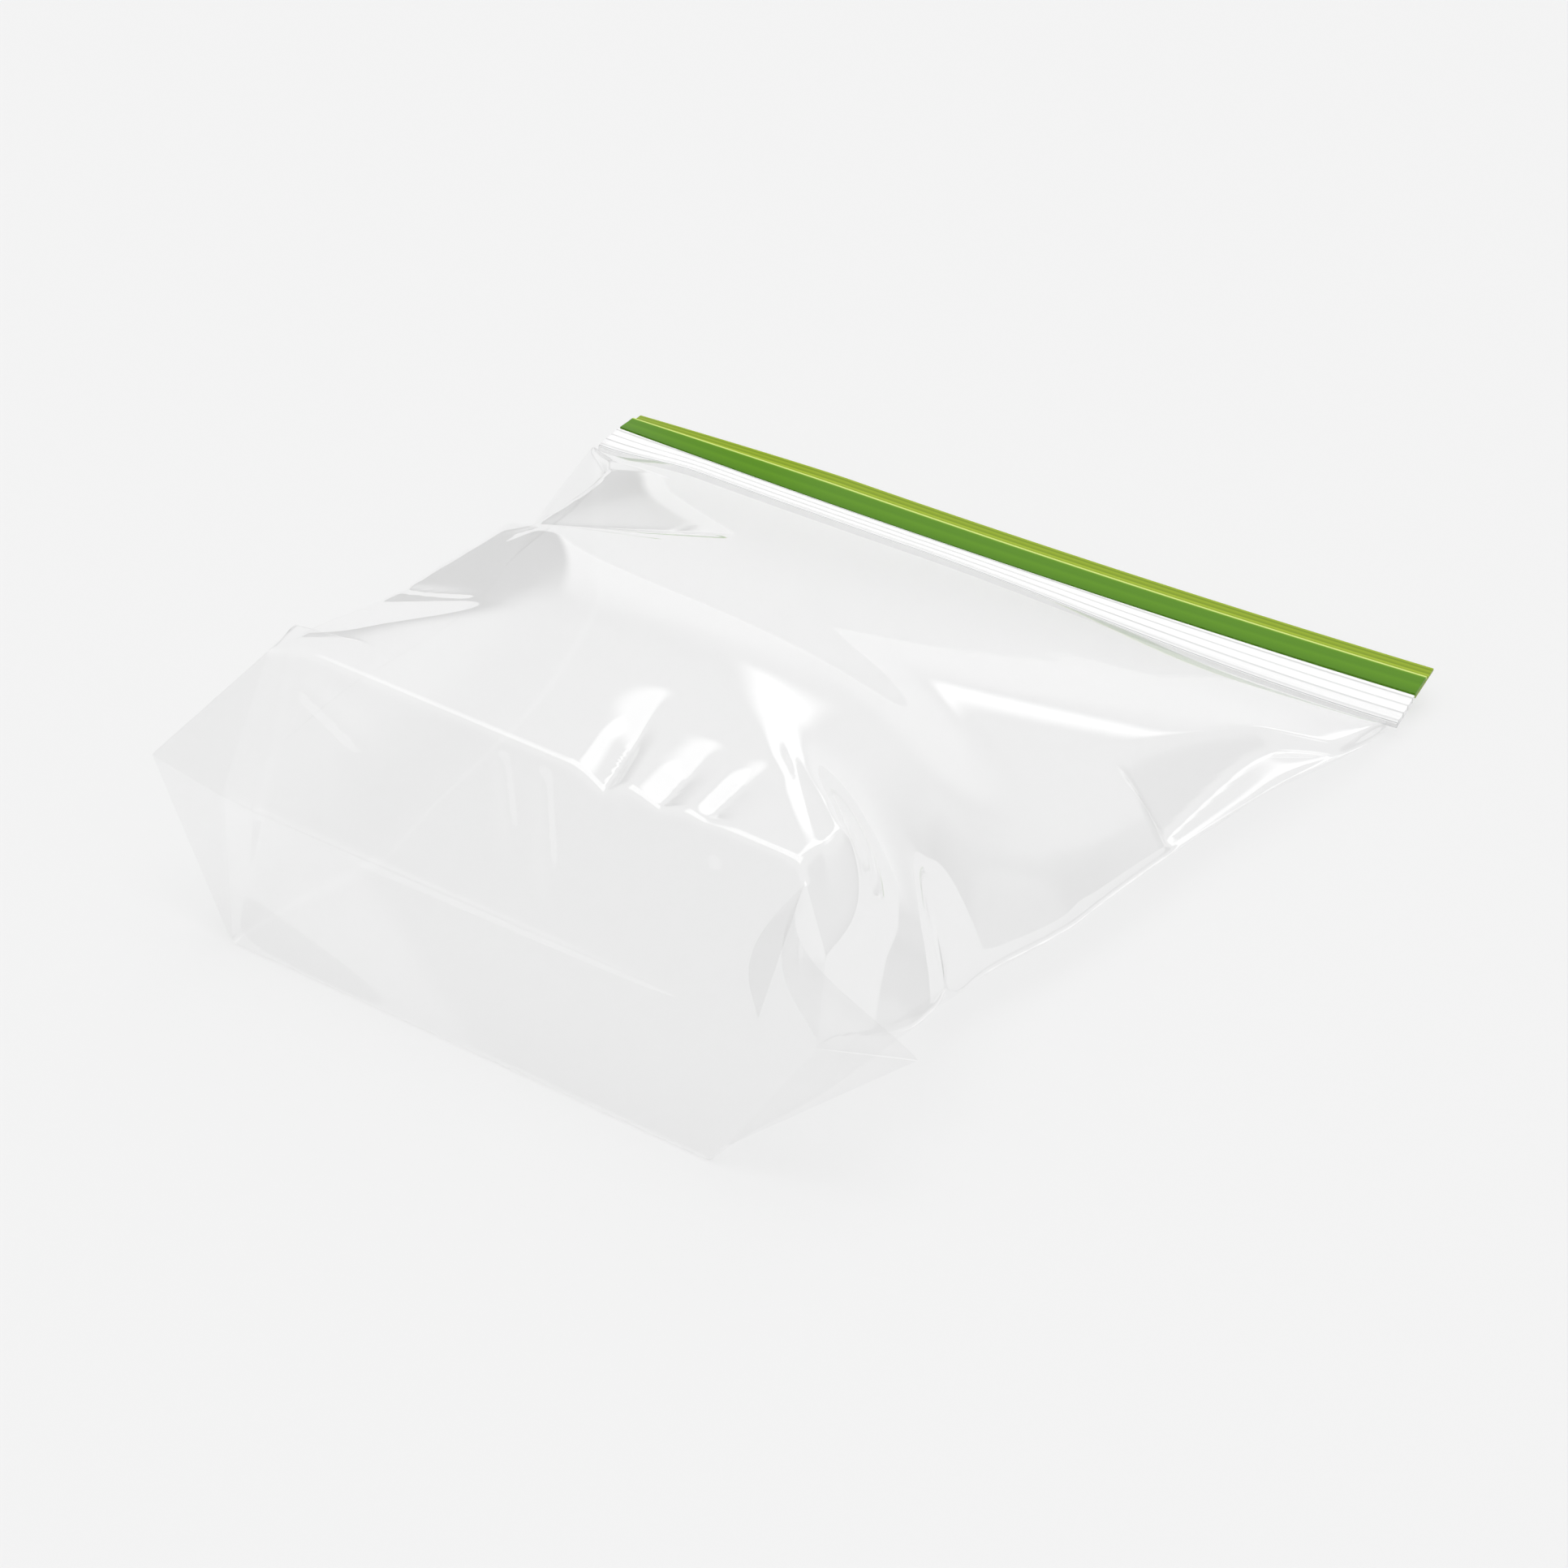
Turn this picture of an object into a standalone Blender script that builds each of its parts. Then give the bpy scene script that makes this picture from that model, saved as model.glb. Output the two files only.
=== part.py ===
# Freezer bag, large size, shut and lying on its back with air inside.
#
# The bag is one clear film tube with welded sides.  Its bottom has been squared out like
# a carton, so two flat triangular ears stand out from the lower corners.  The far edge
# carries the press-shut zip: a clear ribbed flange, then two green pull lips of unlike
# width.  A shut bag of air is modelled as one filled body.
#
# Frame: +X across the bag, +Y from the squared bottom towards the zip, +Z up, floor at 0.
# All sizes below are in millimetres.

import bpy
import bmesh
import math
import numpy as np

MM = 0.001

# ---------------------------------------------------------------- squared bottom
FACE_TOP_LEFT = -94.0       # the bottom face's upper corners
FACE_TOP_RIGHT = 99.0
FACE_TOP_FLAT = 83.0        # half the straight part of that edge, before the corners drop
FACE_LOW_LEFT = -85.0       # where its bottom edge ends on the floor, at each side
FACE_LOW_RIGHT = 81.0
FACE_HEIGHT = 80.0          # height of the top edge of the bottom face
FACE_LEAN = 0.45            # how far the face leans back for each mm it rises
FACE_SETBACK = 2.0          # the bottom edge is tucked in by this much
FOLD_HEIGHT = 36.0          # the bottom fold of the flat bag crosses the face here
EAR_LENGTH = 43.0           # film from the box corner to the ear tip
EAR_TIP_LEFT = (-124.4, 20.5, 39.1)
EAR_TIP_RIGHT = (130.5, 25.0, 41.0)
EAR_SEAM_LEFT = -99.0       # the weld at the base of each ear, on its rear layer
EAR_SEAM_RIGHT = 104.0
SEAM_LEFT_HEIGHT = 36.0     # height of the weld at the ears, and what it loses behind them
SEAM_LEFT_SINK = 12.0
SEAM_LEFT_FLARE = 27.0      # the bag widens by this much towards the zip
SEAM_RIGHT_HEIGHT = 38.0
SEAM_RIGHT_DROP = 19.0      # the right weld drops close to the floor
SEAM_RIGHT_BULGE = 11.0
SEAM_RIGHT_STEP = 9.0
SEAM_RIGHT_FLARE = 21.0
PANEL_FOOT_SINK = 15.0
EAR_BOW_RIGHT = (-13.0, -2.0, -3.0)   # the right ear's upper edge is pulled in

# ---------------------------------------------------------------- body
BODY_LENGTH = 257.0         # floor line, from the bottom edge to the zip flange
CREST_HEIGHT = 80.0
CREST_FALL = 5.0            # the crest sinks by this much on its way to the zip
CREST_CROWN = 6.0           # the upper film bulges by this much in the middle
CROWN_MIDDLE = -5.0         # where across the bag, and how wide the bulge is
CROWN_WIDTH = 70.0
APPROACH_SLOPE = 0.40       # rise of the upper film away from the zip
APPROACH_TURN = 0.10        # it turns down by this slope beyond this place at the right
APPROACH_TURN_AT = 90.0
APPROACH_TURN_EASE = 8.0
CORNER_DROP = 0.30          # slope of the face's top edge past its straight part
LEFT_WALL_SLOPE = 8.0       # the left wall is nearly upright at the face ...
LEFT_WALL_EASING = 5.8      # ... and lies back by this much behind it
LEFT_HEM_WIDTH = 11.0       # flat hem beside the left weld, near the zip
RIGHT_WALL_SLOPE = 5.2
RIGHT_WALL_EASING = 2.6
PANEL_SLOPE = 0.53          # the side panel: its slope near the zip, ...
PANEL_MIDDLE_SLOPE = 0.25   # ... what is added in the front half, ...
PANEL_FRONT_SLOPE = 4.42    # ... and what is added next to the bottom face
PANEL_FRONT_REACH = 0.085
PULL_HEM_SLOPE = 0.05        # the pulled film beside the right weld
CLEAR_OF_ALL = 40.0         # lifts a surface where it takes no part
SHOULDER_START = 4.0        # the left shoulder's facets begin this much higher, at the face

# ---------------------------------------------------------------- zip
ZIP_HALF = 134.0            # half the length of the zip
ZIP_SKEW = 0.112            # the zip runs back this much for each mm along X
ZIP_MID_HEIGHT = 13.2       # height of the lock line at the middle
ZIP_FALL = 0.050            # and how much it falls for each mm along X
LOCK_DEPTH = 270.0          # the lock line, from the bottom edge, at the middle
LOCK_BOW = 3.2              # and how much farther back it is at its two ends
FLANGE_WIDTH = 13.4
FLANGE_TILT = 17.0          # degrees: the flange climbs to the body, and less at its ends
FLANGE_TURN_RIGHT = 27.0
FLANGE_TURN_LEFT = 13.0
FLANGE_THICK = 2.2          # both films and both rails pressed together
FLANGE_RIBS = 4
RIB_HEIGHT = 0.35
LIP_THICK = 0.8
LIP_TILT = 7.0              # degrees, and the droop towards the left end
LIP_DROOP = 16.5
LIP_DROOP_FROM = -60.0
FRONT_LIP_CURL = 3.0        # degrees from the lock line to the free edge
BACK_LIP_CURL = 2.0
FRONT_LIP_WIDTH = 8.4
BACK_LIP_WIDTH = 13.6
GAP = 0.3                   # clear space between neighbouring pieces

# ---------------------------------------------------------------- pleats of the upper film
# each: start, end, half width to the left and right of the way it runs, depth
PLEATS = (
    ((23.0, 34.0), (13.0, 76.0), 12.0, 7.0, 3.6),     # three knocks in the front crest
    ((40.0, 38.0), (37.0, 66.0), 12.0, 8.0, 2.4),
    ((54.0, 42.0), (53.0, 70.0), 7.0, 9.0, 1.6),
    ((54.0, 78.0), (94.0, 38.0), 6.0, 6.0, 1.2),      # valley beside the ridge to the right ear
    ((-80.0, 141.0), (-50.0, 182.0), 1.6, 2.6, 0.5),  # fine creases from the left shoulder
    ((-80.0, 142.0), (-66.0, 210.0), 1.6, 2.6, 0.5),
    ((-96.0, 96.0), (-62.0, 92.0), 4.0, 3.0, 0.8),
)

# ---------------------------------------------------------------- flat facets of the upper film
# each: a place on it, its height there, its slope across the bag and along it
FACETS = {
    "shoulder": ((-88.0, 110.0), 66.5, 0.34, -0.08),
    "step": ((-86.0, 148.0), 62.0, 0.347, -0.60),
    "corner": ((-102.0, 234.0), 30.0, 0.26, -0.125),
    "corner_rise": ((-90.0, 219.0), 35.0, 0.139, -0.058),
    "pull": ((98.0, 200.0), 33.5, -1.30, 0.06),
}

# ---------------------------------------------------------------- mesh density
EAR_CELLS = 6
FACE_CELLS = 22
BODY_CELLS = 38
ZIP_CELLS = 36

# ---------------------------------------------------------------- colours and finishes
FILM_COLOUR = (0.86, 0.88, 0.88)
FLANGE_COLOUR = (0.90, 0.91, 0.91)
DEEP_GREEN = (0.075, 0.262, 0.004)
LIGHT_GREEN = (0.242, 0.376, 0.014)


def ease(start, end, value):
    """0 before start, 1 after end, and a smooth step between."""
    t = np.clip((np.asarray(value, float) - start) / (end - start), 0.0, 1.0)
    return t * t * (3.0 - 2.0 * t)


def lowest(heights, softness):
    """The lowest of several surfaces, with the ridges between them rounded."""
    stack = np.array(np.broadcast_arrays(*heights))
    base = stack.min(axis=0)
    total = np.exp(-(stack - base) / softness).sum(axis=0)
    return base - softness * np.log(total)


def highest(heights, softness):
    """The highest of several surfaces, with the valleys between them rounded."""
    return -lowest([-np.asarray(h, float) for h in heights], softness)


# ---------------------------------------------------------------- the zip line

def lock_line(x):
    """Where the two rails lock: depth and height along the zip."""
    y = LOCK_DEPTH + ZIP_SKEW * x + LOCK_BOW * (x / ZIP_HALF) ** 2
    z = ZIP_MID_HEIGHT - ZIP_FALL * x
    return y, z


def flange_tilt(x):
    """The flange climbs from the lock line to the body, and turns down at the right."""
    tilt = FLANGE_TILT - FLANGE_TURN_RIGHT * ease(-25.0, 128.0, x)
    tilt = tilt - FLANGE_TURN_LEFT * ease(0.0, 1.0, (-98.0 - x) / 36.0)
    return np.radians(tilt)


def lip_tilt(x):
    """The lips rise a little from the lock line, and droop at the left end."""
    near_end = np.clip((LIP_DROOP_FROM - x) / (ZIP_HALF + LIP_DROOP_FROM), 0.0, 1.0)
    return np.radians(LIP_TILT - LIP_DROOP * near_end ** 1.3)


def body_edge(x):
    """Where the film meets the flange: depth and height."""
    y, z = lock_line(x)
    tilt = flange_tilt(x)
    reach = FLANGE_WIDTH + 2.5 * GAP
    return y - reach * np.cos(tilt), z + reach * np.sin(tilt)


# ---------------------------------------------------------------- the two films

def seam_left(v):
    """Left weld: place across and height, for v from the bottom face (0) to the zip (1)."""
    x = EAR_SEAM_LEFT - 8.0 * ease(0.0, 0.35, v)
    x = x - SEAM_LEFT_FLARE * ease(0.5, 1.15, v) / ease(0.5, 1.15, 1.0)
    end = float(body_edge(-ZIP_HALF)[1])
    low = SEAM_LEFT_HEIGHT - SEAM_LEFT_SINK
    z = SEAM_LEFT_HEIGHT - SEAM_LEFT_SINK * ease(0.0, 0.7, v) + (end - low) * ease(0.6, 1.0, v)
    return x, z


def seam_right(v):
    """Right weld, which drops close to the floor behind the ear."""
    x = EAR_SEAM_RIGHT + SEAM_RIGHT_BULGE * (ease(0.0, 0.16, v) - ease(0.18, 0.30, v))
    x = x + SEAM_RIGHT_STEP * ease(0.34, 0.50, v) + SEAM_RIGHT_FLARE * ease(0.45, 1.0, v)
    end = float(body_edge(ZIP_HALF)[1])
    z = SEAM_RIGHT_HEIGHT - 8.0 * ease(0.0, 0.15, v) - SEAM_RIGHT_DROP * ease(0.2, 0.34, v)
    z = z + 2.0 * ease(0.5, 0.8, v)
    low = SEAM_RIGHT_HEIGHT - 8.0 - SEAM_RIGHT_DROP + 2.0
    z = z + (end - low) * ease(0.8, 1.0, v)
    return x, z


def panel_foot(v):
    """Foot of the side panel, which doesn't follow the weld's own bends."""
    x = EAR_SEAM_RIGHT + 10.0 * ease(0.0, 0.2, v) - 4.0 * ease(0.2, 0.6, v)
    x = x + 24.0 * ease(0.36, 1.0, v)
    z = SEAM_RIGHT_HEIGHT - PANEL_FOOT_SINK * ease(0.0, 0.55, v) - 6.0 * ease(0.8, 1.0, v)
    return x, z


def lean(v):
    """Stations stand in the plane of the bottom face first, and upright at the zip."""
    return FACE_LEAN * (1.0 - ease(0.0, 0.9, v))


def depth(x, z, v):
    """Distance from the bottom edge of the face, for a point of station v."""
    tuck = (FACE_SETBACK - 0.018 * x) * (1.0 - ease(0.0, 0.08, v))
    skew = ZIP_SKEW * ease(0.15, 1.0, v)
    end = body_edge(x)[0] - (BODY_LENGTH + ZIP_SKEW * x)
    return BODY_LENGTH * v + tuck + lean(v) * z + skew * x + end * ease(0.85, 1.0, v)


def pleat_depth(x, y):
    """How far the pleats press the upper film down at one place."""
    drop = np.zeros_like(x)
    for start, end, left, right, deep in PLEATS:
        along = np.array(end) - np.array(start)
        length = math.hypot(along[0], along[1])
        along = along / length
        run = (x - start[0]) * along[0] + (y - start[1]) * along[1]
        aside = (y - start[1]) * along[0] - (x - start[0]) * along[1]
        off = np.where(aside > 0.0, aside / left, -aside / right)
        cross = np.clip(1.0 - off, 0.0, 1.0) ** 1.5
        fade = ease(-0.25, 0.1, run / length) * (1.0 - ease(0.45, 1.1, run / length))
        drop = drop + deep * cross * fade
    return drop


def facet(name, x, v):
    """Height of one flat facet, whose slopes hold across the bag and along it."""
    (at_x, at_y), level, across, along = FACETS[name]
    y = depth(x, 0.0, v)
    return (level + across * (x - at_x) + along * (y - at_y)) / (1.0 - along * lean(v))


def left_facets(x, v):
    """The shoulder sags to a facet, and steps down to a second one by the zip's end."""
    near_zip = lowest([facet("corner", x, v), facet("corner_rise", x, v)], 0.5)
    behind = highest([facet("step", x, v), near_zip], 0.7)
    return lowest([facet("shoulder", x, v), behind], 0.8)


def approach(x, v):
    """The upper film's rise away from the zip."""
    from_zip = BODY_LENGTH * (1.0 - v)
    past = np.log1p(np.exp((x - APPROACH_TURN_AT) / APPROACH_TURN_EASE)) * APPROACH_TURN_EASE
    level = body_edge(x)[1] + FLANGE_THICK / 2
    return level + APPROACH_SLOPE * from_zip - APPROACH_TURN * past * ease(0.0, 30.0, from_zip)


def left_wall(x, v):
    """Wall over the left weld, with a flat hem where it nears the zip."""
    x_left, z_left = seam_left(v)
    slope = LEFT_WALL_SLOPE - LEFT_WALL_EASING * ease(0.0, 0.3, v) + 0.8 * ease(0.5, 0.7, v)
    hem = LEFT_HEM_WIDTH * ease(0.68, 0.92, v) * (1.0 - ease(0.94, 1.0, v))
    inset = x - x_left
    return z_left + 0.1 * inset + slope * np.maximum(0.0, inset - hem)


def right_panel(x, v):
    """The broad side panel, steep behind the ear and lying back towards the zip."""
    x_foot, z_foot = panel_foot(v)
    slope = PANEL_SLOPE + PANEL_MIDDLE_SLOPE * (1.0 - ease(0.38, 0.58, v))
    slope = slope + PANEL_FRONT_SLOPE * math.exp(-(v / PANEL_FRONT_REACH) ** 1.5)
    return z_foot + slope * (x_foot - x)


def top_profile(x, v):
    """Height of the upper film over the floor, across one station of the bag."""
    x_left, z_left = seam_left(v)
    x_right, z_right = seam_right(v)
    crown = np.exp(-((x - CROWN_MIDDLE) / CROWN_WIDTH) ** 2)
    crest = CREST_HEIGHT - CREST_FALL * v + CREST_CROWN * ease(0.0, 0.3, v) * crown
    corner = FACE_HEIGHT + CORNER_DROP * (FACE_TOP_FLAT - np.abs(x))
    corner = corner + CLEAR_OF_ALL * ease(0.0, 0.2, v)
    gap = x_right - x
    right_wall = z_right + (RIGHT_WALL_SLOPE - RIGHT_WALL_EASING * ease(0.0, 0.2, v)) * gap
    softness = 0.5 + 7.0 * ease(0.0, 0.12, v) - 6.7 * ease(0.8, 1.0, v)
    z = lowest([crest, corner, approach(x, v), right_panel(x, v), right_wall], softness)
    elsewhere = 1.0 - ease(0.60, 0.66, v) + ease(0.86, 0.97, v)
    pull = facet("pull", x, v) + CLEAR_OF_ALL * elsewhere
    pull = highest([pull, z_right + PULL_HEM_SLOPE * gap], 0.8)
    elsewhere = 1.0 - ease(0.0, 0.07, v) + ease(0.94, 1.0, v)
    left = left_facets(x, v) + CLEAR_OF_ALL * elsewhere
    left = left + SHOULDER_START * (1.0 - ease(0.08, 0.24, v))
    softness = 0.5 + 0.6 * ease(0.0, 0.12, v) - 0.8 * ease(0.9, 1.0, v)
    z = lowest([z, left, left_wall(x, v), pull], softness)
    z = z - pleat_depth(x, depth(x, z, v)) * (1.0 - ease(0.93, 1.0, v))
    inset = np.minimum(x - x_left, gap) / (1.0 + 1.0 * ease(0.0, 0.1, v))
    seam = np.where(x < 0.0, z_left, z_right)
    return seam + (z - seam) * ease(0.0, 1.0, inset)


def bottom_profile(x, v):
    """Height of the under film: flat on the floor, then up to the welds and the zip."""
    x_left, z_left = seam_left(v)
    x_right, z_right = seam_right(v)
    flare = ease(0.0, 0.25, v)
    steep_left = z_left / (FACE_LOW_LEFT - EAR_SEAM_LEFT) * (1.0 - flare) + 1.1 * flare
    steep_right = z_right / (EAR_SEAM_RIGHT - FACE_LOW_RIGHT) * (1.0 - flare) + 1.1 * flare
    left = z_left - steep_left * (x - x_left)
    right = z_right - steep_right * (x_right - x)
    towards_zip = body_edge(x)[1] - FLANGE_THICK / 2 - 120.0 * (1.0 - v)
    softness = 0.5 + 1.5 * ease(0.0, 0.12, v) - 1.8 * ease(0.8, 1.0, v)
    z = highest([np.zeros_like(x), left, right, towards_zip], softness)
    return np.where(z < 0.06, 0.0, z)


def station(v, profile, shares):
    """Points of one film along one station, spread by length of film."""
    x_left = float(seam_left(v)[0])
    x_right = float(seam_right(v)[0])
    x = np.linspace(x_left, x_right, 900)
    z = profile(x, v)
    step = np.hypot(np.diff(x), np.diff(z))
    length = np.concatenate([[0.0], np.cumsum(step)])
    at = shares * length[-1]
    xs = np.interp(at, length, x)
    zs = np.interp(at, length, z)
    return np.stack([xs, depth(xs, zs, v), zs], axis=1)


def film_shares():
    """Shares of the film's width at the mesh columns: ear, face, ear."""
    width = FACE_TOP_RIGHT - FACE_TOP_LEFT
    whole = width + 2.0 * EAR_LENGTH
    ear = np.linspace(0.0, EAR_LENGTH, EAR_CELLS + 1)
    face = EAR_LENGTH + np.linspace(0.0, width, FACE_CELLS + 1)
    far = EAR_LENGTH + width + ear
    return np.concatenate([ear[:-1], face, far[1:]]) / whole


def body_rows(side):
    """Rows of one film from the edge of the bottom face to the zip; side is +1 or -1."""
    profile = top_profile if side > 0 else bottom_profile
    shares = film_shares()
    return np.array([station(row / BODY_CELLS, profile, shares) for row in range(BODY_CELLS + 1)])


def ear_point(p, q, tip, corner, fold, weld):
    """A point of an ear: front layer where p is past q, rear layer where q is past p."""
    if p >= q:
        return tip + (p - q) * (fold - tip) + q * (corner - tip)
    return tip + (q - p) * (weld - tip) + p * (corner - tip)


def ear_bow(p, q):
    """Weight of the inward pull on an ear's upper edge; none on its other edges."""
    along = (p + q) / 2.0
    if along == 0.0:
        return 0.0
    return math.sin(math.pi * along ** 1.3) * (p * q / along ** 2) ** 2


def bottom_rows(side, first_row):
    """Rows of one film from the bottom fold to the edge of the bottom face."""
    fold_y = FACE_SETBACK + FACE_LEAN * FOLD_HEIGHT - 1.0
    fold_left = np.array([FACE_LOW_LEFT - 1.0, fold_y, FOLD_HEIGHT])
    fold_right = np.array([FACE_LOW_RIGHT + 3.0, fold_y, FOLD_HEIGHT])
    tips = (np.array(EAR_TIP_LEFT), np.array(EAR_TIP_RIGHT))
    last = len(first_row) - 1
    rows = []
    for row in range(EAR_CELLS):
        q = row / EAR_CELLS
        points = []
        for column in range(last + 1):
            inset = min(column, last - column)
            if inset < EAR_CELLS:
                left = column < EAR_CELLS
                p = inset / EAR_CELLS
                tip = tips[0] if left else tips[1]
                corner = first_row[EAR_CELLS if left else last - EAR_CELLS]
                fold = fold_left if left else fold_right
                weld = first_row[0 if left else last]
                point = ear_point(p, q, tip, corner, fold, weld)
                if side > 0 and not left:
                    point = point + ear_bow(p, q) * np.array(EAR_BOW_RIGHT)
            else:
                share = (column - EAR_CELLS) / FACE_CELLS
                fold = fold_left + share * (fold_right - fold_left)
                point = fold + q * (first_row[column] - fold)
            points.append(point)
        rows.append(points)
    return np.array(rows)


def film_grid(side):
    """The whole of one film, from the bottom fold to the zip."""
    body = body_rows(side)
    bottom = bottom_rows(side, body[0])
    return np.concatenate([bottom, body])


# ---------------------------------------------------------------- zip sections

def zip_frame(x):
    """Outward and upward directions across the zip, square to its line."""
    along = np.array([1.0, ZIP_SKEW, -ZIP_FALL])
    along = along / np.linalg.norm(along)
    up = np.array([0.0, 0.0, 1.0]) - along[2] * along
    up = up / np.linalg.norm(up)
    out = np.cross(up, along)
    y, z = lock_line(x)
    return np.array([x, y, z]), out, up


def flange_section(x):
    """Closed outline of the flange at one place: ribbed above, plain below."""
    origin, out, up = zip_frame(x)
    tilt = float(flange_tilt(x))
    away = -math.cos(tilt) * out + math.sin(tilt) * up
    normal = math.sin(tilt) * out + math.cos(tilt) * up
    steps = FLANGE_RIBS * 4
    loop = []
    for step in range(steps + 1):
        share = step / steps
        rib = RIB_HEIGHT * (0.5 - 0.5 * math.cos(2.0 * math.pi * FLANGE_RIBS * share))
        reach = GAP + share * (FLANGE_WIDTH - GAP)
        loop.append(origin + reach * away + (FLANGE_THICK / 2 - RIB_HEIGHT + rib) * normal)
    for share in (1.0, 0.5, 0.0):
        reach = GAP + share * (FLANGE_WIDTH - GAP)
        loop.append(origin + reach * away - FLANGE_THICK / 2 * normal)
    return loop


def lip_line(x, width, offset, curl, steps):
    """Middle line of a lip from the lock line to its free edge."""
    origin, out, up = zip_frame(x)
    start = float(lip_tilt(x))
    point = origin + GAP * (math.cos(start) * out + math.sin(start) * up)
    tilt = start
    normal = -math.sin(tilt) * out + math.cos(tilt) * up
    line = [point + offset * normal]
    for step in range(steps):
        tilt = start + curl * (step + 0.5) / steps
        point = point + width / steps * (math.cos(tilt) * out + math.sin(tilt) * up)
        normal = -math.sin(tilt) * out + math.cos(tilt) * up
        line.append(point + offset * normal)
    return line


def zip_stations():
    return [-ZIP_HALF + 2.0 * ZIP_HALF * i / ZIP_CELLS for i in range(ZIP_CELLS + 1)]


# ---------------------------------------------------------------- objects
def make_material(name, colour, roughness, alpha=1.0):
    material = bpy.data.materials.new(name)
    material.use_nodes = True
    shader = material.node_tree.nodes["Principled BSDF"]
    shader.inputs["Base Color"].default_value = (colour[0], colour[1], colour[2], 1.0)
    shader.inputs["Roughness"].default_value = roughness
    shader.inputs["Metallic"].default_value = 0.0
    shader.inputs["Alpha"].default_value = alpha
    return material


def clear_scene():
    for item in list(bpy.data.objects):
        bpy.data.objects.remove(item, do_unlink=True)


def new_object(name, points, faces, material, collection):
    mesh = bpy.data.meshes.new(name)
    mesh.from_pydata([tuple(float(c) * MM for c in point) for point in points], [], faces)
    mesh.materials.append(material)
    work = bmesh.new()
    work.from_mesh(mesh)
    bmesh.ops.recalc_face_normals(work, faces=work.faces)
    work.to_mesh(mesh)
    work.free()
    item = bpy.data.objects.new(name, mesh)
    collection.objects.link(item)
    return item


def cell_faces(index, r, c, flip):
    """One mesh cell; a cell on the folded edge of an ear is split along the fold."""
    a, b = index[r, c], index[r, c + 1]
    d, e = index[r + 1, c], index[r + 1, c + 1]
    last = index.shape[1] - 1
    if r < EAR_CELLS and c == r:
        faces = [(a, b, e), (a, e, d)]
    elif r < EAR_CELLS and c == last - 1 - r:
        faces = [(a, b, d), (b, e, d)]
    else:
        faces = [(a, b, e, d)]
    if flip:
        faces = [tuple(reversed(face)) for face in faces]
    return faces


def make_body(collection):
    """Both films as one closed body: they share the bottom fold and the two welds."""
    upper = film_grid(1)
    under = film_grid(-1)
    rows, columns = upper.shape[:2]
    points = []
    index_upper = np.zeros((rows, columns), int)
    index_under = np.zeros((rows, columns), int)
    for r in range(rows):
        for c in range(columns):
            index_upper[r, c] = len(points)
            points.append(upper[r, c])
    for r in range(rows):
        for c in range(columns):
            if r == 0 or c == 0 or c == columns - 1:
                index_under[r, c] = index_upper[r, c]
            else:
                index_under[r, c] = len(points)
                points.append(under[r, c])
    faces = []
    for r in range(rows - 1):
        for c in range(columns - 1):
            faces.extend(cell_faces(index_upper, r, c, False))
            faces.extend(cell_faces(index_under, r, c, True))
    top = index_upper[rows - 1]
    low = index_under[rows - 1]
    faces.append((top[0], top[1], low[1]))
    for c in range(1, columns - 2):
        faces.append((top[c], top[c + 1], low[c + 1], low[c]))
    faces.append((top[columns - 2], top[columns - 1], low[columns - 2]))
    faces = [tuple(int(i) for i in face) for face in faces]
    film = make_material("clear_film", FILM_COLOUR, 0.08, 0.35)
    return new_object("bag_body", points, faces, film, collection)


def make_flange(collection):
    """The clear ribbed band that holds the rails."""
    sections = [flange_section(x) for x in zip_stations()]
    size = len(sections[0])
    points = [point for section in sections for point in section]
    faces = [tuple(range(size))]
    for s in range(len(sections) - 1):
        for i in range(size):
            j = (i + 1) % size
            faces.append((s * size + i, s * size + j, (s + 1) * size + j, (s + 1) * size + i))
    last = (len(sections) - 1) * size
    faces.append(tuple(last + i for i in reversed(range(size))))
    flange = make_material("milky_flange", FLANGE_COLOUR, 0.15, 0.75)
    return new_object("zip_flange", points, faces, flange, collection)


def make_lip(name, width, offset, curl, material, collection):
    """A pull lip: a curved strip given its thickness."""
    steps = 6
    lines = [lip_line(x, width, offset, curl, steps) for x in zip_stations()]
    points = [point for line in lines for point in line]
    faces = []
    for s in range(len(lines) - 1):
        for i in range(steps):
            a = s * (steps + 1) + i
            faces.append((a, a + 1, a + steps + 2, a + steps + 1))
    lip = new_object(name, points, faces, material, collection)
    thick = lip.modifiers.new("film_thickness", "SOLIDIFY")
    thick.thickness = LIP_THICK * MM
    thick.offset = 0.0
    thick.use_even_offset = True
    return lip


def settle(objects):
    """Put the middle of the whole over the origin, with its lowest point on the floor."""
    bpy.context.view_layer.update()
    graph = bpy.context.evaluated_depsgraph_get()
    corners = []
    for item in objects:
        shown = item.evaluated_get(graph).to_mesh()
        flat = np.empty(len(shown.vertices) * 3)
        shown.vertices.foreach_get("co", flat)
        places = flat.reshape(-1, 3)
        corners.append(places.min(axis=0))
        corners.append(places.max(axis=0))
        item.evaluated_get(graph).to_mesh_clear()
    low = np.min(corners, axis=0)
    high = np.max(corners, axis=0)
    shift = np.array([(low[0] + high[0]) / 2, (low[1] + high[1]) / 2, low[2]])
    for item in objects:
        for vertex in item.data.vertices:
            vertex.co = [vertex.co[axis] - shift[axis] for axis in range(3)]
    print("moved by (mm):", [round(float(s) / MM, 3) for s in shift])


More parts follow.
